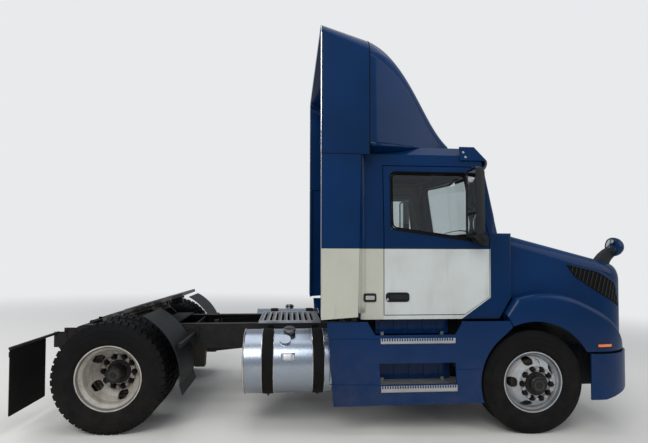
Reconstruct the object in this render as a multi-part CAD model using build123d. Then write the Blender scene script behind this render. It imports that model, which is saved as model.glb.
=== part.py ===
from build123d import *
import math
import os

# Road tractor with a day cab, in millimetres, +Z up.
# Each piece is drawn level, with X measured forward from the rear axle and Y to the truck's left.
# The parked truck stands nose up on its soft rear springs, so all that the frame carries is turned
# by RAKE as one, while the axles and wheels stay square to the ground.

# Wheels and axles
WHEELBASE = 4000
TYRE_RADIUS = 502
TYRE_WIDTH = 280
TYRE_RIM_RADIUS = 288
RIM_FLANGE_RADIUS = 298
RIM_WIDTH = 234
RIM_WALL = 14
DISC_OFFSET = 168
DISC_THICKNESS = 14
HAND_HOLE_COUNT = 5
HAND_HOLE_RADIUS = 33
HAND_HOLE_SPREAD = 34
HAND_HOLE_CIRCLE = 212
STUD_CIRCLE = 142.9
STUD_COUNT = 10
NUT_RADIUS = 17
NUT_HEIGHT = 26
FRONT_TRACK_HALF = 1030
REAR_TRACK_HALF = 925
DUAL_SPACING = 336
HUB_RADIUS = 105
HUB_CAP_RADIUS = 78
FRONT_HUB_REACH = 60
REAR_HUB_REACH = 150
KINGPIN_Y = 868
KINGPIN_RADIUS = 24
SPINDLE_RADIUS = 38
STEER_ARM = 190
TIE_ROD_RADIUS = 18
RUN_CLEAR = 6
SEAT_FIT = 0.3
AXLE_BEAM_HEIGHT = 110
AXLE_BEAM_WIDTH = 90
AXLE_BEAM_DROP = 105
REAR_HOUSING_RADIUS = 72
REAR_BANJO_RADIUS = 215
DRIVE_SHAFT_RADIUS = 58

# Stance of the frame over the axles
RAKE = 1.75
RAKE_PIVOT_Z = 950

# Frame
RAIL_OUTER_Y = 425
RAIL_TOP = 868
RAIL_HEIGHT = 262
RAIL_FLANGE = 85
RAIL_WALL = 11
RAIL_REAR_X = -800
RAIL_FRONT_X = WHEELBASE + 940
RAIL_TAPER = 220
CROSSMEMBER_X = [-640, 560, WHEELBASE - 2500, WHEELBASE - 1750]
CAB_MOUNT_X = [WHEELBASE - 1600, WHEELBASE - 440]
SHAFT_NOTCH = 130
ENGINE_LINE_Z = 700
GEARBOX_REAR_X = WHEELBASE - 1620

# Cab
CAB_HALF = 1130
CAB_WALL = 58
CAB_FLOOR = 1000
CAB_REAR_X = WHEELBASE - 1710
FIREWALL_X = WHEELBASE - 215
BELT_Z = 1835
EAVES_Z = 2610
ROOF_Z = 2700
EAVES_HALF = CAB_HALF - 68
ROOF_HALF = CAB_HALF - 145
PILLAR_X_BELT = WHEELBASE - 360
PILLAR_X_EAVES = WHEELBASE - 500
SCREEN_X_BELT = WHEELBASE - 110
SCREEN_X_EAVES = WHEELBASE - 245
ROOF_INSET = 75
GLASS = 6
SEAM = 8

# Steering wheel
COLUMN_TOP = (WHEELBASE - 738, 510, 1716)
WHEEL_AXIS = (-0.654, 0, 0.757)
STEERING_RADIUS = 225

# Doors
DOOR_REAR_X = WHEELBASE - 1492
DOOR_FRONT_X = WHEELBASE - 434
DOOR_BOTTOM = 1036
DOOR_TOP = 2500
DOOR_TOP_FRONT_X = WHEELBASE - 600
DOOR_CORNER_X = WHEELBASE - 690
DOOR_CORNER_Z = 1212

# Roof fairing and side extenders
FAIRING_REAR_X = WHEELBASE - 2100
FAIRING_SKIN = 14
EXTENDER_HALF = 1222
EXTENDER_SKIN = 24
EXTENDER_BOTTOM = 1012
EXTENDER_SPLIT = 2572

# Hood
HOOD_REAR_X = WHEELBASE - 200
HOOD_FRONT_X = WHEELBASE + 1140
HOOD_SKIN = 14
HOOD_GAP = 12
COWL_DROP = 45
HOOD_BOTTOM = 678
HOOD_TOP_REAR = BELT_Z - 7
HOOD_TOP_FRONT = 1484
HOOD_BROW = 230
HOOD_NOSE_SHARES = [0, 0.16, 0.32, 0.48, 0.62, 0.75, 0.86, 0.94, 0.985]
HOOD_HALF = 1072
HOOD_CORNER = 400
HOOD_BOW = 18
HOOD_ROUND = 130
FENDER_HALF = 1205
FENDER_ROUND = 60
ARCH_RADIUS = 585
ARCH_X = WHEELBASE - 10
ARCH_Z = 392
MOUTH_HALF = 470
LAMP_REAR_X = WHEELBASE + 668
LAMP_INNER_Y = 760
LAMP_EDGE = 58
LAMP_SEAM = 4
HOOD_HINGE_X = WHEELBASE + 1118
HOOD_HINGE_Z = 598
# distance ahead of the front axle, height
VENT_OUTLINE = [(452, 1512), (760, 1434), (962, 1311), (1013, 1092), (804, 1212), (538, 1395)]
HINGE_PIN_RADIUS = 14
HINGE_ARM_Y = 366
GRILLE_LOW = 740
GRILLE_HIGH = 1360

# Bumper
BUMPER_FRONT_X = WHEELBASE + 1164
BUMPER_TOP = 655
BUMPER_BOTTOM = 212
BUMPER_NOSE_RISE = 141
BUMPER_SKIN = 16
BUMPER_REAR_X = WHEELBASE + 545
NOSE_CORNER = 500

# Skirts and steps
SKIRT_Y = 1222
SKIRT_SKIN = 22
SKIRT_TOP = 986
SKIRT_BOTTOM = 210
SKIRT_REAR_X = WHEELBASE - 2045
SKIRT_LEAN = 62
SKIRT_ARCH = 562
STEP_REAR_X = WHEELBASE - 1560
STEP_FRONT_X = WHEELBASE - 810
STEP_DEPTH = 190
STEP_THICK = 42
STEP_INNER_Y = SKIRT_Y - 28 - STEP_DEPTH
STEP_TOPS = [822, 384]
STEP_POST = 30
STEP_POST_X = [STEP_REAR_X + 60, STEP_FRONT_X - 90]
STEP_ARM_Z = [STEP_TOPS[0] - 60, STEP_TOPS[0] - 20]

# Tanks
TANK_REAR_X = WHEELBASE - 2835
TANK_FRONT_X = WHEELBASE - 1990
TANK_RADIUS = 308
TANK_Y = 868
TANK_Z = 566
STRAP_WIDTH = 62
STRAP_THICK = 7
STRAP_X = [WHEELBASE - 2598, WHEELBASE - 2118]

# Fifth wheel
PLATE_PIVOT_X = 60
PLATE_PIVOT_Z = 1002
PLATE_RISE = 80
PLATE_THICK = 34
PLATE_HALF = 452
PLATE_FRONT = 400
PLATE_REAR = 432
PLATE_TILT = 16.5
KINGPIN_SEAT_RADIUS = 25.5

# Rear fenders and flaps
FENDER_ARC = 632
FENDER_SKIN = 6
FENDER_HIGH_ANGLE = 62
FENDER_LOW_ANGLE = -6
FENDER_INNER_Y = 640
FENDER_OUTER_Y = 1222
FLAP_X = -850
FLAP_THICK = 10
FLAP_TOP = 772
FLAP_BOTTOM = 190
FLAP_INNER_Y = 640
FLAP_OUTER_Y = 1215
FLAP_ARM_END = 20
FLAP_BAR_RISE = 12


def raked(x, z):
    """Ground place of a point given in the level frame, still measured from the rear axle."""
    c = math.cos(math.radians(RAKE))
    s = math.sin(math.radians(RAKE))
    rise = z - RAKE_PIVOT_Z
    return x * c - rise * s, RAKE_PIVOT_Z + x * s + rise * c


# The middle of the whole length stands over the origin.
FRONT_END = raked(BUMPER_FRONT_X, BUMPER_BOTTOM + BUMPER_NOSE_RISE)[0]
REAR_END = raked(FLAP_X - FLAP_ARM_END, FLAP_TOP + FLAP_BAR_RISE + 16)[0]
LENGTH_MIDDLE = (FRONT_END + REAR_END) / 2


def levelled(x, z):
    """The level frame's place of a point given over the ground."""
    c = math.cos(math.radians(RAKE))
    s = math.sin(math.radians(RAKE))
    rise = z - RAKE_PIVOT_Z
    return x * c + rise * s, RAKE_PIVOT_Z - x * s + rise * c


def on_frame(piece):
    """Turn a piece that the frame carries to its parked stance, and centre it."""
    stance = Pos(-LENGTH_MIDDLE, 0, RAKE_PIVOT_Z) * Rot(0, -RAKE, 0) * Pos(0, 0, -RAKE_PIVOT_Z)
    return stance * piece


def on_ground(piece):
    """Centre a piece that is square to the ground."""
    return Pos(-LENGTH_MIDDLE, 0, 0) * piece


def box(x, y, z):
    """A block between two places on each axis."""
    size = [abs(pair[1] - pair[0]) for pair in (x, y, z)]
    middle = [(pair[1] + pair[0]) / 2 for pair in (x, y, z)]
    return Pos(*middle) * Box(*size)


def mirrored(piece):
    """The same piece on the truck's other side."""
    return mirror(piece, about=Plane.XZ)


def pair(piece):
    """A piece and its twin on the other side, in one compound."""
    return Compound([*piece.solids(), *mirrored(piece).solids()])


def side_prism(points, y_low, y_high):
    """A prism whose outline is drawn from the side, as X and Z."""
    outline = make_face(Polyline([(x, 0, z) for x, z in points], close=True))
    return Pos(0, y_high, 0) * extrude(outline, amount=y_high - y_low, dir=(0, -1, 0))


def bar_between(start, end, radius):
    """A round bar from one place to another."""
    start, end = Vector(*start), Vector(*end)
    along = end - start
    return extrude(Plane(origin=start, z_dir=along) * Circle(radius), amount=along.length)


# Wheels

def turned(points):
    """A ring turned about the Y axis from an outline of radius and Y."""
    outline = make_face(Polyline([(r, y, 0) for r, y in points], close=True))
    return revolve(outline, axis=Axis.Y)


def tyre():
    """One tyre about the Y axis, with bulged sides and a flat tread."""
    half = TYRE_WIDTH / 2
    tread_half = half - 16
    bulge = (TYRE_RADIUS + TYRE_RIM_RADIUS) / 2 - 20
    shoulder = TYRE_RADIUS - 22
    bead_half = RIM_WIDTH / 2 - RIM_WALL - SEAT_FIT
    bead_radius = TYRE_RIM_RADIUS + SEAT_FIT
    with BuildSketch(Plane.XY) as outline:
        with BuildLine():
            Line((bead_radius, -bead_half), (bead_radius, bead_half))
            ThreePointArc((bead_radius, bead_half), (bulge, half), (shoulder, tread_half + 4))
            Line((shoulder, tread_half + 4), (TYRE_RADIUS, tread_half - 14))
            Line((TYRE_RADIUS, tread_half - 14), (TYRE_RADIUS, 14 - tread_half))
            Line((TYRE_RADIUS, 14 - tread_half), (shoulder, -tread_half - 4))
            ThreePointArc((shoulder, -tread_half - 4), (bulge, -half), (bead_radius, -bead_half))
        make_face()
    return revolve(outline.sketch, axis=Axis.Y)


def rim():
    """A disc wheel about the Y axis, its disc dished towards +Y, with hand holes and a hub bore."""
    edge = RIM_WIDTH / 2
    well = TYRE_RIM_RADIUS - 26
    seat = TYRE_RIM_RADIUS
    outline = [
        (RIM_FLANGE_RADIUS, edge), (seat, edge - RIM_WALL), (seat, edge - 44), (well, edge - 70),
        (well, 70 - edge), (seat, 44 - edge), (seat, RIM_WALL - edge), (RIM_FLANGE_RADIUS, -edge),
        (RIM_FLANGE_RADIUS - RIM_WALL, -edge),
        (seat - RIM_WALL, RIM_WALL - edge), (well - RIM_WALL, 64 - edge), (well - RIM_WALL, edge - 64),
        (seat - RIM_WALL, edge - RIM_WALL), (RIM_FLANGE_RADIUS - RIM_WALL, edge),
    ]
    face = DISC_OFFSET
    dish = [
        (well - RIM_WALL + 2, edge - 66), (well - RIM_WALL + 2, edge - 66 - DISC_THICKNESS * 2),
        (HAND_HOLE_CIRCLE + 6, face - 52 - DISC_THICKNESS), (STUD_CIRCLE + 26, face - DISC_THICKNESS),
        (HUB_RADIUS + 5, face - DISC_THICKNESS), (HUB_RADIUS + 5, face), (STUD_CIRCLE + 30, face),
        (HAND_HOLE_CIRCLE + 12, face - 52),
    ]
    wheel = turned(outline) + turned(dish)
    hole = Rot(-90, 0, 0) * extrude(SlotCenterToCenter(HAND_HOLE_SPREAD, 2 * HAND_HOLE_RADIUS,
                                                       rotation=90),
                                    amount=2 * DISC_OFFSET, both=True)
    for step in range(HAND_HOLE_COUNT):
        turn = Rot(0, step * 360 / HAND_HOLE_COUNT, 0)
        wheel -= turn * Pos(HAND_HOLE_CIRCLE, 0, 0) * hole
    return wheel


def hub(reach, inner_y):
    """The hub through the disc, its cap and its ring of wheel nuts, about the Y axis."""
    face = DISC_OFFSET
    body = turned([
        (SPINDLE_RADIUS, inner_y), (HUB_RADIUS, inner_y), (HUB_RADIUS, face + 8),
        (HUB_CAP_RADIUS, face + 12),
        (HUB_CAP_RADIUS, face + reach - 12), (HUB_CAP_RADIUS - 14, face + reach), (0, face + reach),
        (0, face + 8), (SPINDLE_RADIUS, face + 8),
    ])
    flange = turned([
        (HUB_RADIUS - 2, face - DISC_THICKNESS - 16), (STUD_CIRCLE + 24, face - DISC_THICKNESS - 16),
        (STUD_CIRCLE + 24, face - DISC_THICKNESS), (HUB_RADIUS - 2, face - DISC_THICKNESS),
    ])
    nuts = []
    for step in range(STUD_COUNT):
        turn = Rot(0, (step + 0.5) * 360 / STUD_COUNT, 0)
        nut = Rot(-90, 0, 0) * extrude(RegularPolygon(NUT_RADIUS, 6), amount=NUT_HEIGHT)
        nuts.append(turn * Pos(STUD_CIRCLE, face - 1, 0) * nut)
    return body + flange + nuts


def front_wheel(side):
    """Tyre and rim with hub of one front wheel, where side is 1 for left and -1 for right."""
    place = Pos(WHEELBASE, side * FRONT_TRACK_HALF, TYRE_RADIUS) * Rot(0, 0, 0 if side > 0 else 180)
    return place * tyre(), place * (rim() + hub(FRONT_HUB_REACH, 40))


def rear_wheels(side):
    """The pair of tyres and the pair of rims with their hub on one end of the drive axle."""
    outer_y = REAR_TRACK_HALF + DUAL_SPACING / 2
    inner_y = REAR_TRACK_HALF - DUAL_SPACING / 2
    turn = Rot(0, 0, 0 if side > 0 else 180)
    outer = Pos(0, side * outer_y, TYRE_RADIUS) * turn * Rot(0, 0, 180)
    inner = Pos(0, side * inner_y, TYRE_RADIUS) * turn
    tyres = Compound([outer * tyre(), inner * tyre()])
    hub_place = Pos(0, side * (outer_y - 2 * DISC_OFFSET + DISC_THICKNESS), TYRE_RADIUS) * turn
    rims = outer * rim() + inner * rim() + hub_place * hub(REAR_HUB_REACH, 40)
    return tyres, rims


# Axles and steering

def front_axle_beam():
    """The dropped I-beam with its kingpin eyes, and the pins standing in them."""
    top = TYRE_RADIUS - 12
    low = top - AXLE_BEAM_DROP
    seat_y = RAIL_OUTER_Y + 60
    drop_y = seat_y + 110
    end_y = KINGPIN_Y
    rise_y = KINGPIN_Y - 95
    points = [
        (end_y, top), (rise_y, top), (drop_y, low), (-drop_y, low), (-rise_y, top), (-end_y, top),
        (-end_y, top - AXLE_BEAM_HEIGHT), (-rise_y, top - AXLE_BEAM_HEIGHT),
        (30 - drop_y, low - AXLE_BEAM_HEIGHT),
        (drop_y - 30, low - AXLE_BEAM_HEIGHT), (rise_y, top - AXLE_BEAM_HEIGHT),
        (end_y, top - AXLE_BEAM_HEIGHT),
    ]
    outline = make_face(Polyline([(0, y, z) for y, z in points], close=True))
    beam = Pos(-AXLE_BEAM_WIDTH / 2, 0, 0) * extrude(outline, amount=AXLE_BEAM_WIDTH, dir=(1, 0, 0))
    web = (AXLE_BEAM_WIDTH - 16) / 2
    groove = box((web / 2 + 8, AXLE_BEAM_WIDTH), (-seat_y + 70, seat_y - 70),
                 (low - AXLE_BEAM_HEIGHT + 16, low - 16))
    beam = beam - groove - mirror(groove, about=Plane.YZ)
    middle = top - AXLE_BEAM_HEIGHT / 2
    for side in (1, -1):
        eye = Pos(0, side * KINGPIN_Y, middle) * Cylinder(KINGPIN_RADIUS + 26, AXLE_BEAM_HEIGHT)
        pin = Pos(0, side * KINGPIN_Y, middle) * Cylinder(KINGPIN_RADIUS, AXLE_BEAM_HEIGHT + 110)
        beam = beam + eye + pin
    return Pos(WHEELBASE, 0, 0) * beam


def knuckle(side):
    """The steering knuckle: its two yokes on the kingpin, its spindle and its rearward arm."""
    middle = TYRE_RADIUS - 12 - AXLE_BEAM_HEIGHT / 2
    gap = AXLE_BEAM_HEIGHT / 2 + RUN_CLEAR
    yoke_thick = 46
    plate_y = KINGPIN_Y + KINGPIN_RADIUS + 26 + RUN_CLEAR + 6
    body = box((-52, 52), (plate_y, plate_y + 30), (middle - gap - yoke_thick, middle + gap + yoke_thick))
    for low in (middle + gap, middle - gap - yoke_thick):
        yoke = box((-40, 40), (KINGPIN_Y - 10, plate_y + 4), (low, low + yoke_thick))
        ear = Pos(0, KINGPIN_Y, low + yoke_thick / 2) * Cylinder(KINGPIN_RADIUS + 22, yoke_thick)
        body = body + yoke + ear
    spindle_end = FRONT_TRACK_HALF + DISC_OFFSET - 6
    spindle = bar_between((0, plate_y + 10, TYRE_RADIUS), (0, spindle_end, TYRE_RADIUS),
                          SPINDLE_RADIUS - SEAT_FIT)
    low = middle - gap - yoke_thick
    arm_y = KINGPIN_Y - 40
    arm = side_prism([(-40, low), (-40, low + 30), (-STEER_ARM - 26, low + 30), (-STEER_ARM - 26, low)],
                     arm_y - 22, arm_y + 30)
    body = body + spindle + arm
    bore = Pos(0, KINGPIN_Y, middle) * Cylinder(KINGPIN_RADIUS + SEAT_FIT, 2 * AXLE_BEAM_HEIGHT + 60)
    body = body - bore
    body = Pos(WHEELBASE, 0, 0) * body
    return body if side > 0 else mirrored(body)


def tie_rod():
    """The rod that joins the two arms behind the axle, with its upright ball studs."""
    low = TYRE_RADIUS - 12 - AXLE_BEAM_HEIGHT - RUN_CLEAR - 46
    arm_y = KINGPIN_Y - 40
    z = low - 44
    rod = bar_between((-STEER_ARM, -arm_y, z), (-STEER_ARM, arm_y, z), TIE_ROD_RADIUS)
    for side in (1, -1):
        reach = 0.3 if side > 0 else RUN_CLEAR
        end = Pos(-STEER_ARM, side * arm_y, z) * Sphere(TIE_ROD_RADIUS + 8)
        stud = bar_between((-STEER_ARM, side * arm_y, z), (-STEER_ARM, side * arm_y, low - reach), 14)
        rod = rod + end + stud
    return Pos(WHEELBASE, 0, 0) * rod


def rear_axle_housing():
    """The banjo housing of the drive axle with its nose for the shaft and its brake drums' carriers."""
    reach = REAR_TRACK_HALF - DUAL_SPACING / 2 - 24
    tube = bar_between((0, -reach, TYRE_RADIUS), (0, reach, TYRE_RADIUS), REAR_HOUSING_RADIUS)
    bowl = Pos(0, 0, TYRE_RADIUS) * Rot(0, 90, 0) * Cylinder(REAR_BANJO_RADIUS, 190)
    nose = bar_between((60, 0, TYRE_RADIUS), (330, 0, TYRE_RADIUS + 14), 105)
    cover = Pos(-95, 0, TYRE_RADIUS) * scale(Sphere(REAR_BANJO_RADIUS - 25), by=(0.42, 1, 1))
    hub_y = REAR_TRACK_HALF + DUAL_SPACING / 2 - DISC_OFFSET + DISC_THICKNESS
    stub = bar_between((0, 6 - hub_y, TYRE_RADIUS), (0, hub_y - 6, TYRE_RADIUS),
                       SPINDLE_RADIUS - SEAT_FIT)
    return tube + bowl + nose + cover + stub


# Frame and what hangs under it

def frame_rails():
    """Two channel rails with tapered tails, and the crossmembers between them."""
    low = RAIL_TOP - RAIL_HEIGHT
    tail = [
        (RAIL_FRONT_X, low), (RAIL_FRONT_X, RAIL_TOP), (RAIL_REAR_X + RAIL_TAPER, RAIL_TOP),
        (RAIL_REAR_X, RAIL_TOP - RAIL_HEIGHT / 2), (RAIL_REAR_X, low),
    ]
    rail = side_prism(tail, RAIL_OUTER_Y - RAIL_FLANGE, RAIL_OUTER_Y)
    hollow = box((RAIL_REAR_X - 10, RAIL_FRONT_X + 10),
                 (RAIL_OUTER_Y - RAIL_FLANGE - 10, RAIL_OUTER_Y - RAIL_WALL),
                 (low + RAIL_WALL, RAIL_TOP - RAIL_WALL))
    rail = rail - hollow
    rails = rail + mirrored(rail)
    reach = RAIL_OUTER_Y - RAIL_WALL + 1
    for x in CROSSMEMBER_X:
        web = box((x - 5, x + 5), (-reach, reach), (low + RAIL_WALL - 1, RAIL_TOP - RAIL_WALL - 8))
        shelf = box((x - 5, x + 60), (-reach, reach), (low + RAIL_WALL - 1, low + 2 * RAIL_WALL))
        notch = box((x - 20, x + 80), (-SHAFT_NOTCH, SHAFT_NOTCH), (low - 10, low + 1.3 * SHAFT_NOTCH))
        rails = rails + ((web + shelf) - notch)
    front = box((RAIL_FRONT_X - 70, RAIL_FRONT_X), (-reach, reach), (low + RAIL_WALL - 1, low + 90))
    rails = rails + front
    for x in CAB_MOUNT_X:
        for side in (1, -1):
            post = box((x - 50, x + 50), (side * (RAIL_OUTER_Y - 75), side * RAIL_OUTER_Y),
                       (RAIL_TOP - 1, CAB_FLOOR - SEAT_FIT))
            rails = rails + post
    for side in (1, -1):
        ear = side_prism([
            (RAIL_FRONT_X - 1, low + 10), (RAIL_FRONT_X - 1, low + 90),
            (HOOD_HINGE_X + 18, HOOD_HINGE_Z + 16),
            (HOOD_HINGE_X + 18, HOOD_HINGE_Z - 16),
        ], side * 336 - 8, side * 336 + 8)
        pin = Pos(HOOD_HINGE_X, side * 356, HOOD_HINGE_Z) * Rot(90, 0, 0) * Cylinder(HINGE_PIN_RADIUS, 56)
        rails = rails + ear + pin
    return rails


def front_leaf_springs():
    """Two packs of long leaves that arch down from their hangers onto the front axle."""
    axle_x, seat_z = levelled(WHEELBASE, TYRE_RADIUS - 12 - AXLE_BEAM_DROP + 2.2)
    half = 720
    eye_z = RAIL_TOP - RAIL_HEIGHT - 70
    y_low, y_high = RAIL_OUTER_Y - 20, RAIL_OUTER_Y + 62
    packs = []
    with BuildSketch(Plane.XZ) as outline:
        with BuildLine():
            ThreePointArc((axle_x - half, eye_z), (axle_x, seat_z + 62), (axle_x + half, eye_z))
            Line((axle_x + half, eye_z), (axle_x + half, eye_z - 18))
            ThreePointArc((axle_x + half, eye_z - 18), (axle_x, seat_z + 14), (axle_x - half, eye_z - 18))
            Line((axle_x - half, eye_z - 18), (axle_x - half, eye_z))
        make_face()
    pack = Pos(0, y_high, 0) * extrude(outline.sketch, amount=y_high - y_low, dir=(0, -1, 0))
    seat = box((axle_x - 60, axle_x + 60), (y_low, y_high), (seat_z, seat_z + 30))
    clamp = box((axle_x - 70, axle_x + 70), (y_low - 8, y_high + 8), (seat_z + 40, seat_z + 96))
    pack = pack + seat + clamp
    for x in (axle_x - half, axle_x + half):
        eye = Pos(x, (y_low + y_high) / 2, eye_z - 8) * Rot(90, 0, 0) * Cylinder(34, y_high - y_low)
        hanger = box((x - 40, x + 40), (y_low, y_high - 6),
                     (eye_z - 8, RAIL_TOP - RAIL_HEIGHT - SEAT_FIT))
        pack = pack + eye + hanger
    return pair(pack)


def rear_suspension():
    """Trailing arms under the rails with an air spring behind the drive axle and a damper each."""
    axle_x, axle_z = levelled(0, TYRE_RADIUS)
    low = RAIL_TOP - RAIL_HEIGHT
    y_low, y_high = RAIL_OUTER_Y - 90, RAIL_OUTER_Y - 10
    top = axle_z - REAR_HOUSING_RADIUS - 2
    arm = side_prism([
        (640, low - 120), (640, low - 190), (90, top - 58), (-420, top - 70), (-420, top - 20),
        (-120, top), (120, top),
    ], y_low, y_high)
    bracket = side_prism([(560, low), (700, low), (690, low - 200), (590, low - 200)], y_low - 12,
                         y_high + 12)
    seat = box((axle_x - 90, axle_x + 90), (y_low, y_high), (top - 10, top + 30))
    bag = Pos(-350, (y_low + y_high) / 2, (top - 20 + low) / 2) * Cylinder(112, low - top + 20)
    damper = bar_between((190, RAIL_OUTER_Y + 40, top - 30), (260, RAIL_OUTER_Y + 40, low + 150), 34)
    lug = box((160, 230), (y_high - 6, y_high + 76), (top - 52, top - 18))
    stud = box((236, 286), (RAIL_OUTER_Y + SEAT_FIT, y_high + 76), (low + 136, low + 170))
    tube = bar_between((axle_x, 0, axle_z), (axle_x, 600, axle_z), REAR_HOUSING_RADIUS + SEAT_FIT)
    return pair((arm + bracket + seat + bag + damper + lug + stud) - tube)


def drive_shaft():
    """The tube from the gearbox to the drive axle's nose, with a yoke at each end."""
    back = levelled(330, TYRE_RADIUS + 14)
    start = (back[0] + 10, 0, back[1])
    end = (GEARBOX_REAR_X - 8, 0, ENGINE_LINE_Z)
    shaft = bar_between(start, end, DRIVE_SHAFT_RADIUS)
    for x, z in ((start[0] + 45, start[2] + 2), (GEARBOX_REAR_X - 43 - SEAT_FIT, end[2])):
        shaft = shaft + Pos(x, 0, z) * Rot(0, 90, 0) * Cylinder(DRIVE_SHAFT_RADIUS + 22, 86)
    return shaft


def engine_block():
    """The engine as one plain mass at its real place, its back end low under the cab's floor."""
    block = box((FIREWALL_X + 25, WHEELBASE + 600), (-300, 300), (RAIL_TOP - 250, 1420))
    back = box((WHEELBASE - 700, FIREWALL_X + 26), (-240, 240), (RAIL_TOP - 250, CAB_FLOOR - 12))
    sump = box((WHEELBASE - 580, WHEELBASE + 180), (-180, 180), (470, RAIL_TOP - 249))
    feet = box((WHEELBASE + 180, WHEELBASE + 300), (-RAIL_OUTER_Y + 20, RAIL_OUTER_Y - 20),
               (RAIL_TOP + SEAT_FIT, RAIL_TOP + 60))
    return block + back + sump + feet


def gearbox():
    """Bell housing and gearbox behind the engine."""
    bell = Pos(WHEELBASE - 810, 0, ENGINE_LINE_Z) * Rot(0, -90, 0) * Cone(235, 175, 218)
    case = box((GEARBOX_REAR_X, WHEELBASE - 910), (-165, 165), (ENGINE_LINE_Z - 190, ENGINE_LINE_Z + 175))
    return fillet(case.edges().filter_by(Axis.X), 45) + bell


def radiator():
    """Radiator and charge air cooler, standing on the front of the rails with the fan ring behind."""
    core = box((WHEELBASE + 740, WHEELBASE + 860), (-335, 335), (690, RAIL_TOP + 12))
    core = core + box((WHEELBASE + 740, WHEELBASE + 860), (-400, 400), (RAIL_TOP + 8, 1400))
    lip = box((WHEELBASE + 720, WHEELBASE + 880), (-420, 420), (1400, 1425))
    reach = RAIL_OUTER_Y - RAIL_WALL - SEAT_FIT
    foot = box((WHEELBASE + 720, WHEELBASE + 866), (-reach, reach), (640, 692))
    ring = Pos(WHEELBASE + 690, 0, 1040) * Rot(0, 90, 0) * (Cylinder(330, 100) - Cylinder(316, 102))
    hub_bar = Pos(WHEELBASE + 690, 0, 1040) * Rot(0, 90, 0) * Cylinder(60, 60)
    fan = ring + hub_bar
    for step in range(8):
        blade = Rot(step * 45, 0, 0) * Pos(0, 0, 180) * Rot(0, 0, 32) * Box(8, 96, 292)
        fan = fan + Pos(WHEELBASE + 690, 0, 1040) * blade
    return core + lip + foot + fan


def deck_plate():
    """The slatted walkway on the rails behind the cab."""
    rear, front = CAB_REAR_X - 1020, CAB_REAR_X - 340
    plate = box((rear, front), (-RAIL_OUTER_Y, RAIL_OUTER_Y), (RAIL_TOP + SEAT_FIT, RAIL_TOP + 22))
    for step in range(9):
        x = rear + 50 + step * 66
        plate = plate - box((x, x + 26), (-RAIL_OUTER_Y + 60, RAIL_OUTER_Y - 60),
                            (RAIL_TOP - 5, RAIL_TOP + 30))
    return plate


def fuel_tanks():
    """A round tank outboard of each rail, with domed ends and a filler neck with its cap."""
    length = TANK_FRONT_X - TANK_REAR_X
    body = Rot(0, 90, 0) * Cylinder(TANK_RADIUS, length)
    body = fillet(body.edges().filter_by(GeomType.CIRCLE), 26)
    neck = Rot(-42, 0, 0) * Pos(-20, 0, TANK_RADIUS + 8) * Cylinder(52, 48)
    tank = Pos((TANK_REAR_X + TANK_FRONT_X) / 2, TANK_Y, TANK_Z) * (body + neck)
    return pair(tank)


def tank_straps():
    """The straps round each tank, and the brackets that carry it on the rail."""
    straps = []
    for x in STRAP_X:
        ring = Rot(0, 90, 0) * (Cylinder(TANK_RADIUS + STRAP_THICK, STRAP_WIDTH)
                                - Cylinder(TANK_RADIUS + SEAT_FIT, STRAP_WIDTH + 2))
        ring = Pos(x, TANK_Y, TANK_Z) * ring
        post = box((x - 30, x + 30), (RAIL_OUTER_Y + SEAT_FIT, RAIL_OUTER_Y + 26),
                   (TANK_Z - 230, RAIL_TOP - 14))
        shelf = side_prism([(x - 30, TANK_Z - 230), (x + 30, TANK_Z - 230), (x + 30, TANK_Z - 200),
                            (x - 30, TANK_Z - 200)],
                           RAIL_OUTER_Y + 20, TANK_Y - 180)
        inner = Pos(x, TANK_Y, TANK_Z) * Rot(0, 90, 0) * Cylinder(TANK_RADIUS + SEAT_FIT, 100)
        brace = box((x - 30, x + 30), (RAIL_OUTER_Y + 20, TANK_Y - TANK_RADIUS + 12),
                    (TANK_Z - 20, TANK_Z + 20))
        straps.append(ring + ((post + shelf + brace) - inner))
    return pair(Compound(straps))


def fifth_wheel_base():
    """The mounting plate across the rails with the two uprights that carry the coupling's trunnions."""
    plate = box((PLATE_PIVOT_X - 330, PLATE_PIVOT_X + 330), (-RAIL_OUTER_Y - 20, RAIL_OUTER_Y + 20),
                (RAIL_TOP + SEAT_FIT, RAIL_TOP + 14))
    upright = side_prism([
        (PLATE_PIVOT_X - 150, RAIL_TOP + 12), (PLATE_PIVOT_X + 150, RAIL_TOP + 12),
        (PLATE_PIVOT_X + 34, PLATE_PIVOT_Z), (PLATE_PIVOT_X - 34, PLATE_PIVOT_Z),
    ], 345, 385)
    top = Pos(PLATE_PIVOT_X, 365, PLATE_PIVOT_Z) * Rot(90, 0, 0) * Cylinder(36, 40)
    upright = upright + top
    pin = Pos(PLATE_PIVOT_X, 330, PLATE_PIVOT_Z) * Rot(90, 0, 0) * Cylinder(22, 110)
    upright = upright + pin
    angles = box((PLATE_PIVOT_X - 330, PLATE_PIVOT_X + 330), (RAIL_OUTER_Y + SEAT_FIT, RAIL_OUTER_Y + 14),
                 (RAIL_TOP - 90, RAIL_TOP + 2))
    return plate + upright + mirrored(upright) + angles + mirrored(angles)


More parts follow.
